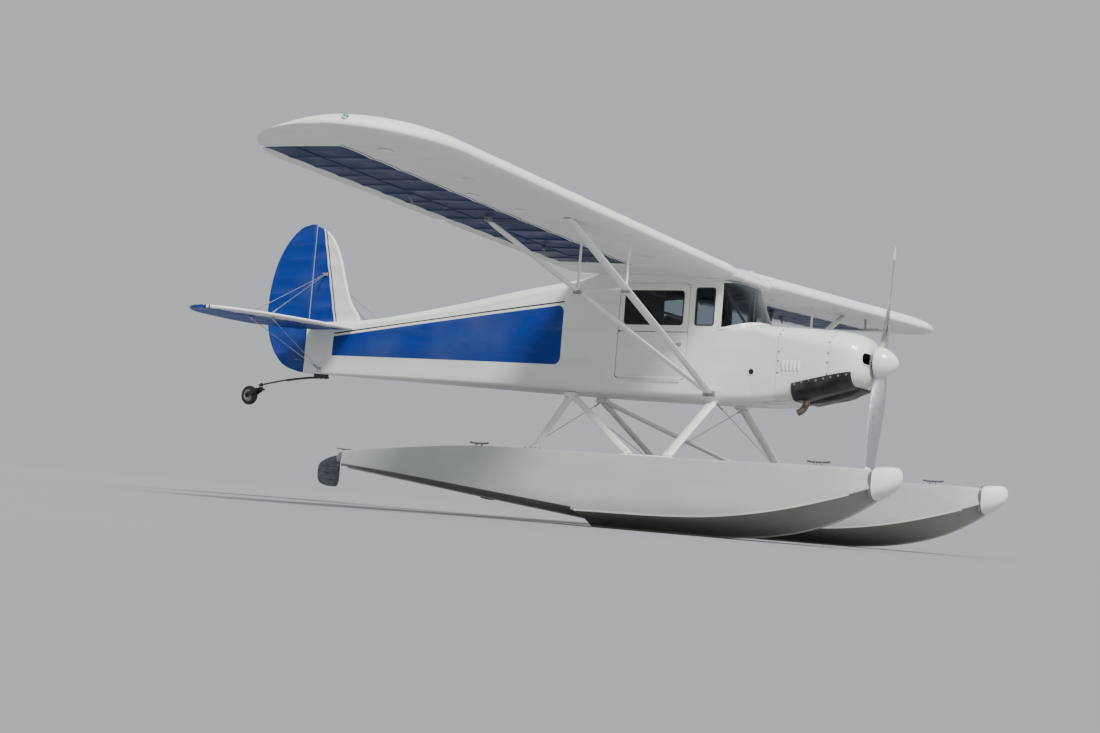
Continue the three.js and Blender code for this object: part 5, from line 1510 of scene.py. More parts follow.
strut_enamel, tree, shader = new_finish("strut_enamel", 0.3)
shader.inputs["Coat Weight"].default_value = 0.3
coloured(shader, weathered(tree, STRUT_PAINT, most=0.2))
relief(shader, speckle(tree, 180.0, 2.0), 0.0002)
fitting_steel = metal("fitting_steel", (0.42, 0.42, 0.43), 0.42)
for side, word in SIDES:
    foot = at(LIFT_FOOT[0], side * LIFT_FOOT[1], LIFT_FOOT[2])
    heads = {name: at(SPAR_STATIONS[name], side * LIFT_OUT[name], wing_height(LIFT_OUT[name]) - 0.045)
             for name in SPAR_STATIONS}
    struts = [streamlined(foot, heads["front"], 0.082, 0.034, ends=TAPER),
              streamlined(foot + Vector((-0.03, 0, 0.004)), heads["rear"], 0.064, 0.028, ends=TAPER)]
    fittings, lows = [], []
    for name, spar in heads.items():
        low = foot.lerp(spar, JURY_SHARE)
        lows.append(low)
        top = Vector((low.x, low.y, wing_height(abs(low.y)) + (-0.045 if name == "front" else -0.02)))
        struts += [tube([low, top], 0.011, 12), tube([low.lerp(top, 0.97), top], 0.016, 12)]
        fittings.append(tube([low - Vector((0.035, 0, 0.012)), low + Vector((0.035, 0, -0.012))], 0.018, 12))
        fittings.append(tube([spar + Vector((0.028, 0, 0)), spar - Vector((0.028, 0, 0))], 0.012, 12))
        fittings.append(block(spar + Vector((0, 0, 0.022)), (0.07, 0.034, 0.05)))
    struts.append(tube(lows, 0.010, 12))
    fittings.append(block(foot + Vector((-0.01, -side * 0.006, -0.004)), (0.115, 0.022, 0.05)))
    pin = Vector((0, side * 0.02, 0))
    fittings.append(tube([foot + pin, foot - pin], 0.011, 12))
    gathered(f"lift_struts_{word}", struts, strut_enamel, slot="strut_paint",
             replaces=(f"wing_struts_{word}",))
    gathered(f"lift_strut_fittings_{word}", fittings, fitting_steel, slot="bare_steel")

# Tail surfaces: flat frames of round steel tube under cloth. The outline tube and the ribs stand a
# little proud and the cloth sinks between them. Blue, with a white leading edge on fin and stabilizer.
TAIL_HALF = 0.0148
CLOTH_HALF = 0.0095
TAILPLANE_HEIGHT = 1.750
RUDDER_HINGE, ELEVATOR_HINGE, TAIL_NOSE = 6.222, 6.115, 0.017
FIN_EDGE = [(1.790, 5.520), (1.905, 5.570), (2.015, 5.664), (2.250, 5.764), (2.490, 5.854), (2.662, 5.954),
            (2.762, 6.064), (2.805, 6.165)]
RUDDER_EDGE = [(1.302, 6.262), (1.345, 6.430), (1.450, 6.575), (1.605, 6.680), (1.790, 6.738),
               (1.990, 6.755), (2.180, 6.738), (2.370, 6.695), (2.525, 6.630), (2.655, 6.545),
               (2.760, 6.440), (2.812, 6.345), (2.829, 6.262)]
STABILIZER_EDGE = [(0.044, 5.525), (0.310, 5.560), (0.880, 5.660), (1.280, 5.760), (1.520, 5.880),
                   (1.635, 5.990), (1.672, 6.060)]
ELEVATOR_EDGE = [(0.094, 6.215), (0.122, 6.262), (0.240, 6.395), (0.385, 6.475), (0.480, 6.550),
                 (0.665, 6.575), (0.940, 6.570), (1.230, 6.530), (1.460, 6.450), (1.605, 6.340),
                 (1.660, 6.240), (1.676, 6.160)]
TAIL_STEPS = 16
FIN_RIBS = (1.95, 2.17, 2.40, 2.61)
RUDDER_RIBS = (1.46, 1.66, 1.86, 2.06, 2.26, 2.46, 2.65)
TAILPLANE_RIBS = (0.32, 0.58, 0.84, 1.10, 1.34)


def tail_panel(name, edge, straight, ribs, spot, finish, body="airframe", **ways):
    """A surface between a curved edge and a straight hinge edge, closed round both, in rows."""
    first, last = edge[0][0], edge[-1][0]
    ribs = [first] + [rib for rib in ribs if first < rib < last] + [last]
    rows = []
    for low, high in zip(ribs, ribs[1:]):
        reach = high - low
        near = min(0.02, reach / 4)
        rows += [(low, 1.0), (low + near, 0.75)] + [(low + reach * t, 0.0) for t in (0.25, 0.5, 0.75)]
        rows += [(high - near, 0.75)]
    rows.append((last, 1.0))
    shares = [(1 - cos(pi * t)) / 2 for t in spaced(0.0, 1.0, TAIL_STEPS)]
    rings = []
    for place, full in rows:
        curved = faired(edge, place)[0]
        ring = []
        for level, run in ((1, shares), (-1, shares[::-1])):
            for share in run:
                station = curved + (straight - curved) * share
                margin = min(abs(station - curved), abs(straight - station))
                roundness = sqrt(max(0.0, 1 - max(0.0, 1 - margin / TAIL_HALF) ** 2))
                sunk = held((margin - 0.016) / 0.035) * (1 - full)
                half = (TAIL_HALF + (CLOTH_HALF - TAIL_HALF) * sunk) * max(roundness, 0.05)
                ring.append(spot(station, place, level * half))
        rings.append(ring)
    return loft(name, rings, finish, body, crease=50, **ways)


def upright(station, height, out):
    return at(station, out, height)


def tail_paint(name, along, reach, stations):
    """Blue dope behind a white edge that follows a straight line of stations over y or z."""
    finish, tree, shader = doped_cloth(name)
    x, y, z = axes_of(tree)
    station = less(HUB_X, x)
    place = z if along == "z" else calc("ABSOLUTE", y)
    border = ramp(place, *reach, *stations)
    blue = above(less(station, border))
    pin = both(above(less(station, border), -PIN_WIDTH - PIN_GAP),
               above(less(less(border, PIN_GAP), station)))
    colour = mixed(pin, mixed(blue, WHITE_DOPE, ROYAL_BLUE), PIN_BLACK)
    coloured(shader, weathered(tree, colour))
    return finish


fin_paint = tail_paint("fin_cloth", "z", (1.80, 2.78), (5.86, 6.10))
stabilizer_paint = tail_paint("stabilizer_cloth", "y", (0.1, 1.60), (5.66, 6.07))
blue_cloth, tree, shader = doped_cloth("blue_cloth")
coloured(shader, weathered(tree, ROYAL_BLUE))

tail_panel("fin_cloth", FIN_EDGE, 6.190, FIN_RIBS, upright, fin_paint, slot="white_fabric",
           replaces=("fin",))
tail_panel("rudder_cloth", RUDDER_EDGE, RUDDER_HINGE - TAIL_NOSE + 0.002, RUDDER_RIBS, upright, blue_cloth,
           "rudder", slot="blue_fabric", replaces=("rudder",))
for side, word in SIDES:
    def level(station, out, up, side=side):
        return at(station, side * out, TAILPLANE_HEIGHT + up)
    tail_panel(f"stabilizer_cloth_{word}", STABILIZER_EDGE, 6.094, TAILPLANE_RIBS, level, stabilizer_paint,
               slot="blue_fabric", replaces=(f"stabilizer_{word}",))
    tail_panel(f"elevator_cloth_{word}", ELEVATOR_EDGE, ELEVATOR_HINGE - TAIL_NOSE, TAILPLANE_RIBS, level,
               blue_cloth, "elevator", slot="blue_fabric", replaces=("elevator",) if side > 0 else ())
torque_tube = tube([at(ELEVATOR_HINGE, y, TAILPLANE_HEIGHT) for y in (-0.12, 0.12)], 0.0165, 20)
gathered("elevator_torque_tube", [torque_tube], fitting_steel, "elevator", slot="bare_steel")

# Tail stays: streamlined wires from fin and lower fuselage to the stabilizer's two spars, each with a
# threaded fork at its ends.
STAY_OUT = 1.050
STAY_FORE, STAY_AFT = 5.790, 6.060
STAY_TOP = (6.030, 0.0158, 2.310)
STAY_LOW = (5.960, 0.060, 1.330)
WIRE_RADIUS = 0.0036


def wire(start, end, sides, fork, lock):
    """A wire with a fork at each end, from and to distances along it, and a lock nut behind each."""
    along = (end - start).normalized()
    parts = [tube([start, end], WIRE_RADIUS, sides)]
    for point, way in ((start, along), (end, -along)):
        parts.append(tube([point + way * fork[0], point + way * fork[1]], 0.0068, 10))
        parts.append(tube([point + way * fork[1], point + way * fork[2]], lock, 6))
    return parts


stay_steel = metal("stay_steel", (0.62, 0.63, 0.64), 0.25)
for side, word in SIDES:
    for level_word, inner, sign in (("upper", STAY_TOP, 1), ("lower", STAY_LOW, -1)):
        start = at(inner[0], side * inner[1], inner[2])
        parts = []
        for station in (STAY_FORE, STAY_AFT):
            end = at(station, side * STAY_OUT, TAILPLANE_HEIGHT + sign * 0.026)
            parts += wire(start, end, 10, (0.004, 0.075, 0.092), 0.0084)
            parts.append(block(end - Vector((0, 0, sign * 0.006)), (0.05, 0.02, 0.012)))
        parts.append(block(start, (0.07, 0.006, 0.04)))
        gathered(f"tail_stays_{level_word}_{word}_wires", parts, stay_steel, slot="bare_steel",
                 replaces=(f"tail_stays_{level_word}_{word}",))

# Floats: riveted aluminium hulls with a flat deck, a keel, a step halfway and a fine stern; painted light
# silver grey, with shade painted on the faces that look down and a water stain low on the hull.
FOREBODY = [
    # station, keel, chine, deck height, half beam, half deck
    (-0.545, 0.375, 0.468, 0.606, 0.150, 0.120),
    (-0.370, 0.262, 0.398, 0.612, 0.232, 0.190),
    (-0.100, 0.140, 0.310, 0.610, 0.300, 0.250),
    (0.270, 0.046, 0.222, 0.604, 0.345, 0.290),
    (0.740, 0.000, 0.158, 0.600, 0.360, 0.302),
    (1.920, 0.000, 0.128, 0.600, 0.360, 0.302),
]
AFTERBODY = [
    (1.920, 0.055, 0.150, 0.600, 0.358, 0.302),
    (3.000, 0.170, 0.250, 0.600, 0.300, 0.250),
    (3.850, 0.264, 0.325, 0.545, 0.205, 0.165),
    (4.500, 0.335, 0.372, 0.492, 0.110, 0.088),
]
FLOAT_CENTRE = 1.320
STEP = 1.920
KEEL_HALF, FLUTE = 0.013, 0.016
CHINE_RISE, GUNWALE = 0.030, 0.014
DECK_EDGE, DECK_CAMBER = 0.012, 0.004
FLOAT_SILVER = (0.50, 0.515, 0.505)
# Olive grey of the bottoms: painted shade under the hulls, and the water stain.
BOTTOM_SHADE_AND_STAIN = (0.20, 0.205, 0.165)


def float_ring(side, station, keel, chine, deck, beam, top):
    """A float section: keel, fluted bottom, chine, side, rolled gunwale and cambered deck."""
    keel = max(0.0, keel)
    foot = keel + 0.012
    half_ring = [(KEEL_HALF - 0.002, keel), (KEEL_HALF, foot)]
    for t in spaced(0.0, 1.0, 8)[1:]:
        hollow = FLUTE * sin(pi * t) * (1 if beam > 0.15 else 0.5)
        half_ring.append((KEEL_HALF + (beam - KEEL_HALF) * t, foot + (chine - foot) * t + hollow))
    half_ring.append((beam + 0.002, chine + 0.004))
    low, high = chine + CHINE_RISE, deck - GUNWALE
    half_ring += [(beam + (top + DECK_EDGE - beam) * t, low + (high - low) * t) for t in spaced(0.0, 1.0, 4)]
    half_ring += [(top + 0.009, deck - 0.004), (top, deck)]
    half_ring += [(top * t, deck + DECK_CAMBER * (1 - t**2)) for t in (0.8, 0.5, 0.2)]
    ring = [at(station, side * FLOAT_CENTRE + y, z) for y, z in half_ring]
    return ring + [at(station, side * FLOAT_CENTRE - y, z) for y, z in reversed(half_ring)]


float_paint, tree, shader = new_finish("float_paint", 0.38, 0.15)
_, _, z = axes_of(tree)
stain = calc("ADD", z, calc("MULTIPLY", speckle(tree, 3.0, 5.0, stretch=(0.5, 1, 1)), 0.16))
# Faces that look down are darkened most of the way to the bottom colour by their slope: painted shade.
geometry_normal = tree.nodes.new("ShaderNodeNewGeometry").outputs["Normal"]
tilt = tree.nodes.new("ShaderNodeSeparateXYZ")
tree.links.new(geometry_normal, tilt.inputs[0])
painted_shade_below = ramp(tilt.outputs[2], -0.35, -0.75)
# The stronger of the painted shade below and the water stain low on the hull sets the bottom colour.
shade_and_stain = calc("MAXIMUM", both(painted_shade_below, 0.85), ramp(stain, 0.36, 0.24, 0.0, 0.5))
coloured(shader, weathered(tree, mixed(shade_and_stain, FLOAT_SILVER, BOTTOM_SHADE_AND_STAIN), most=0.25))
glossed(shader, 8.0, 0.28, 0.5)
relief(shader, speckle(tree, 90.0, 2.0), 0.0004)

for side, word in SIDES:
    rings = [float_ring(side, s, *faired(FOREBODY, s)) for s in spaced(-0.545, STEP, 34)]
    rings += [float_ring(side, s, *faired(AFTERBODY, s)) for s in spaced(STEP, 4.500, 28)]
    loft(f"float_hull_{word}", rings, float_paint, crease=28, slot="float_gelcoat",
         replaces=(f"float_{word}",))

# Float hardware: rows of rivets, spray rails, non-slip walkways, hatches, pump-out cups and cleats on
# each deck, and a moulded white bumper strapped to the bow.
RIVET_RADIUS = 0.0030
PADS = [(1.290, 1.770), (2.570, 2.710)]
UPWARD = (0, 0, 1)
PUMP_CUP = [(0, 0.021), (0.004, 0.021), (0.007, 0.018), (0.008, 0.012), (0.013, 0.010), (0.015, 0.006)]
CLEAT_FOOT = [(0, 0.013), (0.006, 0.010), (0.030, 0.009)]
CLEAT_HORN = ((-0.094, 0.0385), (-0.06, 0.034), (-0.02, 0.033), (0.02, 0.033), (0.06, 0.034),
              (0.094, 0.0385))
BULKHEADS = [-0.15, 0.35, 0.85, 1.20, 1.55, 1.90, 2.35, 2.80, 3.25, 3.70, 4.15]
WALKWAYS = [(-0.18, 0.42), (0.62, 1.12), (2.82, 3.42)]
HATCHES = [(1.95, 2.30, 0.145), (0.47, 0.57, 0.090)]
CLEATS = (-0.050, 3.100)
PUMP_CUPS = [0.10, 0.72, 1.20, 1.84, 2.42, 2.78, 3.34, 3.90]
BUMPER = [
    # distance ahead of the hull, half width, low, high
    (0.0, 0.158, 0.380, 0.632),
    (0.080, 0.130, 0.425, 0.640),
    (0.145, 0.085, 0.480, 0.636),
    (0.185, 0.038, 0.525, 0.610),
]
BOW = -0.5453


def float_row(station):
    return faired(FOREBODY if station < STEP else AFTERBODY, station)


def float_side(side, station, hand, share):
    """A point on a float's side, from chine to gunwale; hand is 1 or -1 across the float."""
    _, chine, deck, beam, top = float_row(station)
    return at(station, side * FLOAT_CENTRE + hand * (beam + (top + DECK_EDGE - beam) * share),
              chine + CHINE_RISE + (deck - GUNWALE - CHINE_RISE - chine) * share)


def float_deck(side, station, across, up=0.0):
    _, _, deck, _, top = float_row(station)
    camber = DECK_CAMBER * (1 - min(1, abs(across / top)) ** 2)
    return at(station, side * FLOAT_CENTRE + across, deck + camber + up)


def deck_mat(side, first, last, half, thick):
    """A thin mat that follows the deck's camber."""
    rings = []
    for s in spaced(first, last, 12):
        over = [float_deck(side, s, across, thick) for across in spaced(-half, half, 6)]
        rings.append(over + [float_deck(side, s, across, -0.001) for across in spaced(half, -half, 6)])
    return skinned(rings)


non_slip = clouded("non_slip_black", 0.9, (500.0, 2.0), (0.025, 0.025, 0.027), (0.08, 0.08, 0.08),
                   (700.0, 1.0, 0.0012))
bumper_white, tree, shader = new_finish("bumper_white", 0.55)
coloured(shader, weathered(tree, (0.84, 0.835, 0.80), most=0.22))
relief(shader, speckle(tree, 140.0, 3.0), 0.0005)

for side, word in SIDES:
    rivets = []
    for hand in (-1, 1):
        outward = (0, hand, 0.08)
        for s in spaced(-0.48, 4.46, 112):
            rivets += [head(float_side(side, s, hand, share), outward, RIVET_RADIUS, 6)
                       for share in (0.05, 0.94)]
            if not any(first - 0.01 < s < last + 0.01 for first, last in PADS):
                place = float_deck(side, s, hand * (float_row(s)[4] - 0.012))
                rivets.append(head(place, UPWARD, RIVET_RADIUS, 6))
        for s in BULKHEADS:
            rivets += [head(float_side(side, s, hand, share), outward, RIVET_RADIUS, 6)
                       for share in spaced(0.13, 0.86, 7)]
    gathered(f"float_rivets_{word}", rivets, float_paint, slot="float_gelcoat")

    rails = []
    for hand in (-1, 1):
        rings = []
        for s in spaced(-0.40, 1.88, 40):
            _, chine, _, beam, _ = float_row(s)
            lead = min(1.0, (s + 0.41) / 0.2)
            y = side * FLOAT_CENTRE + hand * beam
            rail = ((-0.004, 0.014), (0.022 * lead, -0.004), (0.023 * lead, -0.008), (-0.004, 0.002))
            rings.append([at(s, y + hand * out, chine + up) for out, up in rail])
        rails.append(skinned(rings))
    for first, last, half in HATCHES:
        rails.append(deck_mat(side, first, last, half, 0.0045))
        rails.append(deck_mat(side, first + 0.008, last - 0.008, half - 0.008, 0.0065))
    gathered(f"float_rails_and_hatches_{word}", rails, float_paint, slot="float_gelcoat")

    mats = [deck_mat(side, first, last, 0.17, 0.0016) for first, last in WALKWAYS]
    gathered(f"float_walkways_{word}", mats, non_slip, slot="black_plastic")

    fittings = []
    for s in PUMP_CUPS:
        place = float_deck(side, s, 0.205 if s < 3.2 else 0.12)
        fittings.append(turned(PUMP_CUP, place, UPWARD, 20))
    for s in CLEATS:
        place = float_deck(side, s, 0.0)
        fittings.append(block(place + Vector((0, 0, 0.004)), (0.080, 0.036, 0.010), 0.003))
        for end in (-1, 1):
            fittings.append(turned(CLEAT_FOOT, place + Vector((end * 0.026, 0, 0)), UPWARD, 16))
            fittings.append(head(place + Vector((end * 0.036, 0.011, 0.010)), UPWARD, 0.004))
        fittings.append(tube([place + Vector((x, 0, z)) for x, z in CLEAT_HORN], 0.0085, 12))
    for first, last, half in HATCHES:
        corners = [(s, y) for s in spaced(first + 0.004, last - 0.004, max(2, round((last - first) / 0.06)))
                   for y in (0.004 - half, half - 0.004)]
        fittings += [head(float_deck(side, s, y, 0.0045), UPWARD, SCREW, 6) for s, y in corners]
    fittings.append(block(at(4.534, side * FLOAT_CENTRE, 0.366), (0.076, 0.028, 0.028), 0.003))
    fittings.append(block(at(4.498, side * FLOAT_CENTRE, 0.440), (0.006, 0.10, 0.075), 0.002))
    gathered(f"float_deck_fittings_{word}", fittings, fitting_steel, slot="bare_steel")

    rings = []
    for ahead in spaced(0.0, 0.165, 14) + [0.172, 0.178, 0.182, 0.1842]:
        half, low, high = faired(BUMPER, ahead)
        tip = sqrt(max(0.12, 1 - max(0.0, (ahead - 0.158) / 0.028) ** 2))
        middle = at(BOW - ahead, side * FLOAT_CENTRE, (low + high) / 2)
        rings.append([middle + tip * Vector((0, half * copysign(abs(c) ** 0.7, c),
                                             (high - low) / 2 * copysign(abs(s) ** 0.7, s)))
                      for c, s in circle(36)])
    loft(f"bumper_moulding_{word}", rings, bumper_white, crease=60, slot="bumper_rubber",
         replaces=(f"bumper_{word}",))
    strap = [point + Vector((-0.016, 0, 0)) for point in rings[0]]
    centre = sum(strap, Vector()) / len(strap)
    outs = [(point - centre).normalized() for point in strap]
    straps = [flat_strip(strap, outs, 0.022, 0.0022, looped=True)]
    straps += [head(point + out * 0.002, out, 0.0038) for point, out in zip(strap[::4], outs[::4])]
    gathered(f"bumper_strap_{word}", straps, fitting_steel, slot="bare_steel")

# Float struts: streamlined tubes from fittings under the longerons to pads bolted on the decks, with a
# diagonal from the rear fitting forward, spreader bars between the floats and crossed brace wires.
HEAD_STATIONS = (1.400, 2.830)
LEGS = [
    # top station, foot station, chord
    (1.400, 1.360, 0.092),
    (2.830, 2.640, 0.080),
    (2.800, 1.700, 0.064),
]
LEG_TOP, LEG_FOOT = (0.300, 1.150), (1.168, 0.618)
LEG_THICK = 0.038
SPREADERS = [("front", 1.360, 0.520), ("rear", 2.640, 0.510)]
SPREADER_HALF = 1.000
CUFF, CUFF_GROW = (0.035, 0.115), (1.09, 1.18)
PAD_OUT, PAD_TOP = 1.180, 0.6235
HEAD_OUT, HEAD_LOW = 0.292, 1.138
BRACES = ((1.372, 1.372), (2.850, 2.690))

for side, word in SIDES:
    legs, fittings = [], []
    for top, foot, chord in LEGS:
        high, low = at(top, side * LEG_TOP[0], LEG_TOP[1]), at(foot, side * LEG_FOOT[0], LEG_FOOT[1])
        legs.append(streamlined(high, low, chord, LEG_THICK))
        along = (low - high).normalized()
        size = (chord * CUFF_GROW[0], LEG_THICK * CUFF_GROW[1])
        legs.append(streamlined(low - along * CUFF[1], low - along * CUFF[0], *size,
                                ends=((0, 0.93), (0.15, 1), (1, 1))))
        legs.append(streamlined(high + along * CUFF[0], high + along * CUFF[1], *size,
                                ends=((0, 1), (0.85, 1), (1, 0.93))))
        reach = along.cross(Vector((1, 0, 0))).normalized() * (LEG_THICK * 0.66)
        for share in (0.055, 0.085):
            for point in (low - along * share, high + along * share):
                fittings.append(tube([point - reach, point + reach], 0.0055, 6))
    for first, last in PADS:
        middle = at((first + last) / 2, side * PAD_OUT, PAD_TOP - 0.010)
        legs.append(block(middle, (last - first, 0.090, 0.020), 0.005))
        for s in spaced(first + 0.018, last - 0.018, 2 if last - first < 0.2 else 6):
            fittings += [nut(at(s, side * (PAD_OUT + hand * 0.034), PAD_TOP), UPWARD, 0.009, 0.006)
                         for hand in (-1, 1)]
    for s in HEAD_STATIONS:
        legs.append(block(at(s, side * HEAD_OUT, HEAD_LOW + 0.025), (0.120, 0.078, 0.048), 0.008))
        fittings += [nut(at(s + end * 0.044, side * HEAD_OUT, HEAD_LOW), (0, 0, -1), 0.010, 0.005)
                     for end in (-1, 1)]
    gathered(f"float_strut_legs_{word}", legs, strut_enamel, slot="strut_paint",
             replaces=(f"float_struts_{word}",))
    gathered(f"float_strut_bolts_{word}", fittings, fitting_steel, slot="bare_steel")

for word, s, z in SPREADERS:
    bar = [streamlined(at(s, -SPREADER_HALF, z), at(s, SPREADER_HALF, z), 0.080, 0.034)]
    for side in (-1, 1):
        end = at(s, side * (SPREADER_HALF - 0.004), z)
        bar.append(streamlined(at(s, side * (SPREADER_HALF - 0.10), z), end, 0.092, 0.043,
                               ends=((0, 0.93), (0.1, 1), (1, 1))))
        bar.append(block(end, (0.125, 0.008, 0.075), 0.003))
    gathered(f"spreader_bar_{word}", bar, strut_enamel, slot="strut_paint", replaces=(f"spreader_{word}",))

wires = []
for s_top, s_foot in BRACES:
    for side in (-1, 1):
        high, low = at(s_top, side * 0.262, 1.136), at(s_foot, -side * 1.140, 0.640)
        low = high + (low - high) * 0.985
        wires += wire(high, low, 8, (0.0, 0.085, 0.105), 0.0085)
        wires.append(block(low + Vector((0, side * 0.010, -0.010)), (0.030, 0.030, 0.030), 0.003))
gathered("float_brace_wires", wires, stay_steel, slot="bare_steel")

# Water rudders: alloy blades that hinge up on a post at each stern, between cheeks, turned by a tiller
# that is tied to the air rudder.
STERN_POST = 4.560
BLADE_PIVOT = (4.605, 0.420)
BLADE_OUTLINE = [(-0.006, 0.014), (0.055, 0.020), (0.205, -0.040), (0.240, -0.130), (0.205, -0.235),
                 (0.050, -0.262), (-0.010, -0.225), (-0.012, -0.030)]
BLADE_HALF = 0.0035
CHEEK = [(4.556, 0.392), (4.600, 0.390), (4.626, 0.398), (4.631, 0.420), (4.626, 0.440), (4.600, 0.470),
         (4.580, 0.480), (4.556, 0.480)]
CHEEK_IN, CHEEK_OUT = 0.009, 0.019
POST_TUBE = [(0, 0.0155), (0.002, 0.016), (0.115, 0.016), (0.117, 0.0155)]
BEAD_DROPS = (0.075, 0.135, 0.195)
BEAD = [
    # station, share of the drop, distance out
    (4.615, 1.0, 0.0035),
    (4.700, 0.98, 0.0045),
    (4.800, 0.92, 0.0035),
]

blade_grey = metal("water_rudder_alloy", (0.10, 0.11, 0.125), 0.5, 26.0, 0.45, 0.6)
for side, word in SIDES:
    middle = side * FLOAT_CENTRE
    post = [turned(POST_TUBE, at(STERN_POST, middle, 0.381), UPWARD, 28),
            nut(at(STERN_POST, middle, 0.4975), UPWARD, 0.010, 0.006, 0.003),
            block(at(STERN_POST, middle, 0.505), (0.028, 0.190, 0.010), 0.003)]
    for hand in (-1, 1):
        sides = sorted((hand * CHEEK_IN, hand * CHEEK_OUT))
        post.append(plate(CHEEK, middle + sides[0], middle + sides[1], upright, 0.002))
        post.append(nut(at(STERN_POST, middle + hand * 0.082, 0.509), UPWARD, 0.008, 0.004, sides=12))
        pivot = at(BLADE_PIVOT[0], middle + hand * 0.0185, BLADE_PIVOT[1])
        post.append(nut(pivot, (0, hand, 0), 0.013, 0.004))
    gathered(f"water_rudder_post_fitting_{word}", post, fitting_steel, f"water_rudder_post_{word}",
             slot="bare_steel", replaces=(f"water_rudder_post_{word}",))
    outline = [(BLADE_PIVOT[0] + pair.x, BLADE_PIVOT[1] + pair.y)
               for pair in smooth_outline([(a * 0.992, b * 0.992) for a, b in BLADE_OUTLINE], 5)]
    fin = [plate(outline, middle - BLADE_HALF, middle + BLADE_HALF, upright)]
    for drop in BEAD_DROPS:
        fin += [tube([at(s, middle + hand * out, BLADE_PIVOT[1] - drop * share) for s, share, out in BEAD],
                     0.0042, 8) for hand in (-1, 1)]
    gathered(f"water_rudder_plate_{word}", fin, blade_grey, f"water_rudder_blade_{word}", slot="blade_metal",
             replaces=(f"water_rudder_blade_{word}",))

# Tail wheel: two leaves of spring steel under the tail post, a forged swivelling fork and a small
# treaded rubber tyre on an alloy hub, left on the tail above the floats.
SPRING_LINE = [(5.880, 1.2575), (6.090, 1.2525), (6.240, 1.2385), (6.400, 1.2175), (6.560, 1.1895),
               (6.700, 1.1630), (6.740, 1.1550), (6.783, 1.1505)]
LEAVES = [
    # last station, depth under the line, thickness
    (6.783, 0.0, 0.009),
    (6.420, 0.0095, 0.007),
]
FORK_SWIVEL, FORK_TOP = 6.755, 1.131
WHEEL_AXLE = (6.900, 1.040)
SPRING_HALF = 0.020
SWIVEL_CAP = [(0, 0.020), (0.010, 0.022), (0.020, 0.022), (0.0205, 0.012), (0.034, 0.012), (0.036, 0.009)]
SWIVEL_BOSS = [(0, 0.020), (0.003, 0.024), (0.028, 0.024), (0.031, 0.020)]
ARM_IN, ARM_OUT = 0.036, 0.046
HUB_BOLTS = 5
FORK_ARM = [(6.735, -0.017), (6.789, -0.017), (6.850, -0.041), (6.926, -0.077), (6.924, -0.097),
            (6.908, -0.113), (6.884, -0.111), (6.820, -0.076)]
TYRE = [(-0.018, 0.058), (-0.0235, 0.066), (-0.0258, 0.078), (-0.0238, 0.089), (-0.0175, 0.0962),
        (-0.0090, 0.0988), (-0.0085, 0.0962), (-0.0065, 0.0962), (-0.0060, 0.0994), (0.0060, 0.0994),
        (0.0065, 0.0962), (0.0085, 0.0962), (0.0090, 0.0988), (0.0175, 0.0962), (0.0238, 0.089),
        (0.0258, 0.078), (0.0235, 0.066), (0.018, 0.058)]
WHEEL_DISC = [(-0.031, 0.0), (-0.031, 0.020), (-0.029, 0.022), (-0.020, 0.022), (-0.015, 0.028),
              (-0.015, 0.048), (-0.0195, 0.054), (-0.0205, 0.0605), (0.0205, 0.0605), (0.0195, 0.054),
              (0.015, 0.048), (0.015, 0.028), (0.020, 0.022), (0.029, 0.022), (0.031, 0.020), (0.031, 0.0)]

spring_steel = metal("spring_steel", (0.07, 0.07, 0.075), 0.45, 30.0, 0.4, 0.8)
leaves = []
for last, depth, thick in LEAVES:
    line = [(s, faired(SPRING_LINE, s)[0] - depth) for s in spaced(5.884, last, 30)]
    over = [(s, z + thick / 2) for s, z in line]
    under = [(s, z - thick / 2) for s, z in reversed(line)]
    leaves.append(plate(over + under, -SPRING_HALF, SPRING_HALF, upright, 0.001))
leaves.append(block(at(5.975, 0, 1.2725), (0.168, 0.047, 0.054), 0.008))
leaves += [nut(at(s, 0, 1.2465), (0, 0, -1), 0.011, 0.006) for s in (5.91, 5.975, 6.04)]
leaves.append(turned(SWIVEL_CAP, at(FORK_SWIVEL, 0, FORK_TOP + 0.0055), UPWARD, 24))
gathered("tail_spring_leaves", leaves, spring_steel, slot="dark_steel", replaces=("tail_spring",))

fork = [turned(SWIVEL_BOSS, at(FORK_SWIVEL, 0, FORK_TOP - 0.031), UPWARD, 32),
        block(at(6.760, 0, FORK_TOP - 0.024), (0.057, 0.092, 0.018), 0.005)]
arm = smooth_outline([(s, FORK_TOP + z) for s, z in FORK_ARM])
for hand in (-1, 1):
    fork.append(plate(arm, *sorted((hand * ARM_IN, hand * ARM_OUT)), upright, 0.002))
    fork.append(nut(at(WHEEL_AXLE[0], hand * 0.044, WHEEL_AXLE[1]), (0, hand, 0), 0.013, 0.007))
gathered("tail_fork_forging", fork, spring_steel, "tail_fork", slot="dark_steel", replaces=("tail_fork",))

tyre_black = clouded("tyre_black", 0.75, (60.0, 4.0), (0.014, 0.014, 0.014), (0.045, 0.042, 0.038),
                     (400.0, 2.0, 0.0004))
hub_centre = at(WHEEL_AXLE[0], 0, WHEEL_AXLE[1])
disc = [turned(WHEEL_DISC, hub_centre, (0, 1, 0), 40)]
for c, s in circle(HUB_BOLTS):
    for hand in (-1, 1):
        bolt = hub_centre + Vector((0.038 * c, hand * 0.016, 0.038 * s))
        disc.append(turned([(-0.002, 0.005), (0.003, 0.005)], bolt, (0, hand, 0), 6))
gathered("tail_wheel_hub", disc, fitting_steel, "tail_wheel", slot="bare_steel", replaces=("tail_wheel",))
gathered("tail_wheel_tyre", [rolled(TYRE, hub_centre, (0, 1, 0), 56)], tyre_black, "tail_wheel",
         slot="tyre_rubber")

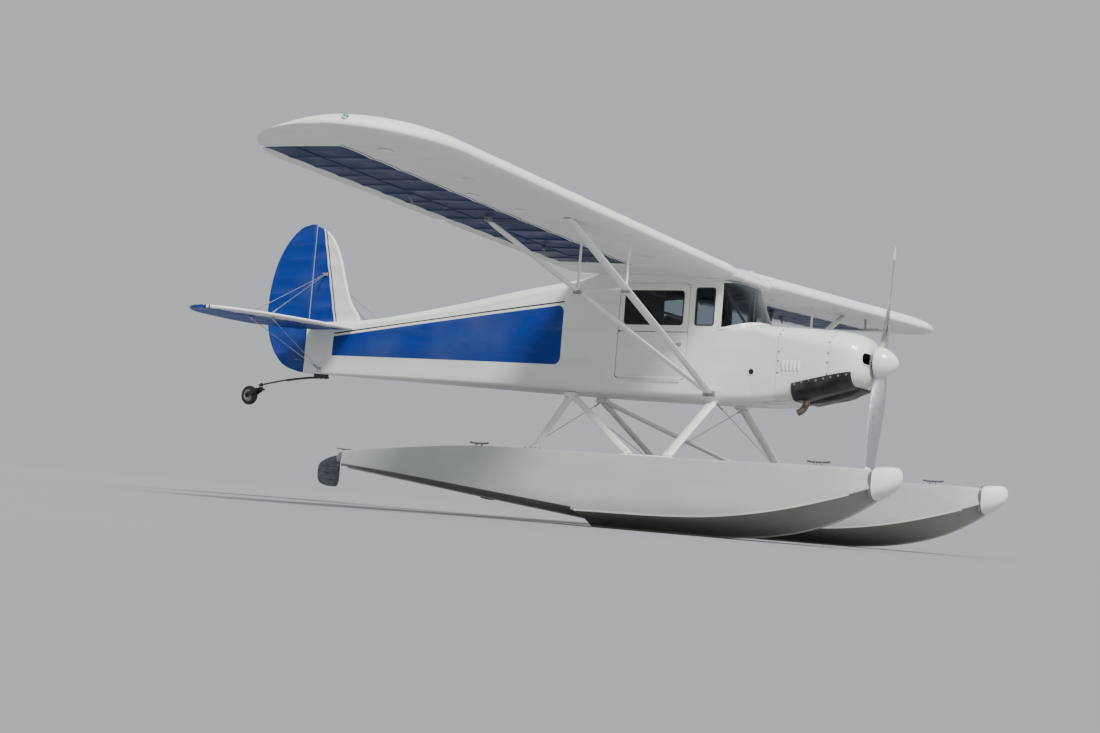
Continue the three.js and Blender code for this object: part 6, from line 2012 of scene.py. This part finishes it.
# Wing and tail hardware: sheet fairings at the roots, fuel caps, navigation lights, a pitot mast,
# inspection rings, control horns and the tail light's base.
FAIRING_IN, FAIRING_OUT = 0.350, 0.392
FAIRING_RISE = 0.0022
FUEL_CAP = (1.640, 0.760)
NAV_LIGHT = (5.285, 0.060)
PITOT_OUT = 3.080
INSPECTIONS = [(1.620, 1.25), (1.620, 2.45), (1.800, 2.95), (1.620, 3.95), (1.930, 1.75), (1.930, 3.45),
               (1.750, 4.75)]
FUEL_CAP_RIM = [(-0.004, 0.058), (0.0012, 0.058), (0.0022, 0.055), (0.0022, 0.040), (0.010, 0.038),
                (0.013, 0.034), (0.013, 0.012), (0.019, 0.010), (0.020, 0.004)]
LAMP_BASE = [(-0.006, 0.026), (0.003, 0.026), (0.005, 0.022), (0.005, 0.010)]
LAMP_LENS = [(0.003, 0.0205), (0.010, 0.0200), (0.019, 0.0165), (0.025, 0.0100), (0.0275, 0.003)]
RING_RIM = [(-0.002, 0.044), (0.0016, 0.045), (0.0022, 0.050), (0.0014, 0.056), (-0.002, 0.057)]
RING_LID = [(-0.002, 0.0445), (0.0008, 0.0445), (0.0016, 0.030), (0.0008, 0.018), (0.0010, 0.002)]
HORNS = [("aileron", 3.420), ("flap", 1.480)]
HORN_OUTLINE = [(0.016, -0.030), (0.069, -0.025), (0.014, -0.100), (0.006, -0.122), (-0.006, -0.122),
                (-0.008, -0.106)]
RUDDER_HORN = [(6.235, 0.030), (6.262, 0.034), (6.250, 0.110), (6.226, 0.120), (6.212, 0.108),
               (6.212, 0.030)]
RUDDER_HORN_HEIGHT = 1.420
ELEVATOR_HORN = [(6.100, 0.010), (6.132, 0.010), (6.122, 0.100), (6.115, 0.108), (6.108, 0.100)]


def fairing_ring(side, y):
    shares = [(1 - cos(pi * i / 30)) / 2 for i in range(31)]
    runs = ((0, -FAIRING_RISE, shares[::-1]), (1, FAIRING_RISE, shares[1:-1]))
    return [at(LEADING - FAIRING_RISE + (CHORD + FAIRING_RISE) * share, side * y,
               wing_height(y) + CHORD * airfoil(min(share, 0.9995))[level] + rise)
            for level, rise, run in runs for share in run]


def on_wing(side, station, y, level, lift=0.0):
    """A point on the lower (0) or upper (1) skin, and the way out of the skin there."""
    height = skin_height(y, station)[level]
    slope = (skin_height(y, station - 0.01)[level] - height) / 0.01
    out = Vector((-slope, 0, 1)).normalized() * (1 if level else -1)
    return at(station, side * y, height) + out * lift, out


lens_glass = {}
for word, colour in (("red", (0.62, 0.012, 0.01)), ("green", (0.01, 0.36, 0.10))):
    lens_glass[word], tree, shader = new_finish(f"lens_{word}", 0.12)
    shader.inputs["Coat Weight"].default_value = 0.8
    coloured(shader, mixed(speckle(tree, 30.0), colour, tuple(c * 0.7 for c in colour)))
    relief(shader, speckle(tree, 160.0, 1.0), 0.0002)

for side, word in SIDES:
    fairing = skinned([fairing_ring(side, y) for y in (FAIRING_IN, FAIRING_OUT - 0.002, FAIRING_OUT)])
    screws = [head(*on_wing(side, s, FAIRING_OUT - 0.006, level, FAIRING_RISE), 0.0030, 6)
              for level in (0, 1) for s in spaced(LEADING + 0.10, LEADING + 1.50, 18)]
    gathered(f"wing_root_fairing_{word}", [fairing], cowl_enamel, slot="cowl_paint")
    gathered(f"wing_root_screws_{word}", screws, screw_steel, slot="bare_steel")

    spot, out = on_wing(side, *FUEL_CAP, 1)
    caps = [turned(FUEL_CAP_RIM, spot, out, 36), block(spot + out * 0.0165, (0.056, 0.009, 0.009), 0.003)]
    lamp = on_wing(side, leading_edge(NAV_LIGHT[0]) + NAV_LIGHT[1], NAV_LIGHT[0], 1)
    caps.append(turned(LAMP_BASE, *lamp, 24))
    for s, y in INSPECTIONS:
        place = on_wing(side, s, y, 0)
        caps += [rolled(RING_RIM, *place, 28), turned(RING_LID, *place, 24)]
    gathered(f"wing_caps_and_rings_{word}", caps, cowl_enamel, slot="cowl_paint")
    glass = lens_glass["red" if side > 0 else "green"]
    gathered(f"wing_tip_light_{word}", [turned(LAMP_LENS, *lamp, 24)], glass, slot="clear_glazing")
    for name, y in HORNS:
        station, height = HINGE_STATION + 0.018, hinge_height(y)
        outline = [(station + s, height + z) for s, z in HORN_OUTLINE]
        eye = at(station, side * y, height - 0.114)
        horn = [plate(outline, side * y - 0.0022, side * y + 0.0022, upright, 0.001),
                turned([(-0.006, 0.006), (0.006, 0.006)], eye, (0, 1, 0), 10)]
        gathered(f"{name}_horn_{word}", horn, fitting_steel, f"{name}_{word}", slot="bare_steel")

mast = on_wing(1, 1.400, PITOT_OUT, 0)[0]
mast_parts = [streamlined(mast + Vector((0, 0, 0.02)), mast + Vector((0.01, 0, -0.11)), 0.030, 0.011, 16),
              tube([mast + Vector((-0.015, 0, -0.112)), mast + Vector((0.215, 0, -0.112))], 0.0062, 12,
                   bore=0.0042),
              tube([mast + Vector((-0.015, 0, -0.098)), mast + Vector((0.150, 0, -0.098))], 0.0048, 10)]
gathered("pitot_mast", mast_parts, screw_steel, slot="bare_steel")
tail_lamp = at(6.752, 0, 2.010)
lamp_base = turned([(-0.012, 0.0165), (0.001, 0.0165)], tail_lamp, (-1, 0, 0), 20)
gathered("tail_light_base", [lamp_base], cowl_enamel, "rudder", slot="cowl_paint")
rudder_horns = [plate([(s, side * y) for s, y in RUDDER_HORN], RUDDER_HORN_HEIGHT - 0.002,
                      RUDDER_HORN_HEIGHT + 0.002, at, 0.0008) for side in (1, -1)]
gathered("rudder_horns", rudder_horns, fitting_steel, "rudder", slot="bare_steel")
elevator_horns = []
for up in (-1, 1):
    outline = [(s, TAILPLANE_HEIGHT + up * z) for s, z in ELEVATOR_HORN]
    elevator_horns.append(plate(outline, 0.038, 0.0425, upright, 0.001))
gathered("elevator_horns", elevator_horns, fitting_steel, "elevator", slot="bare_steel")
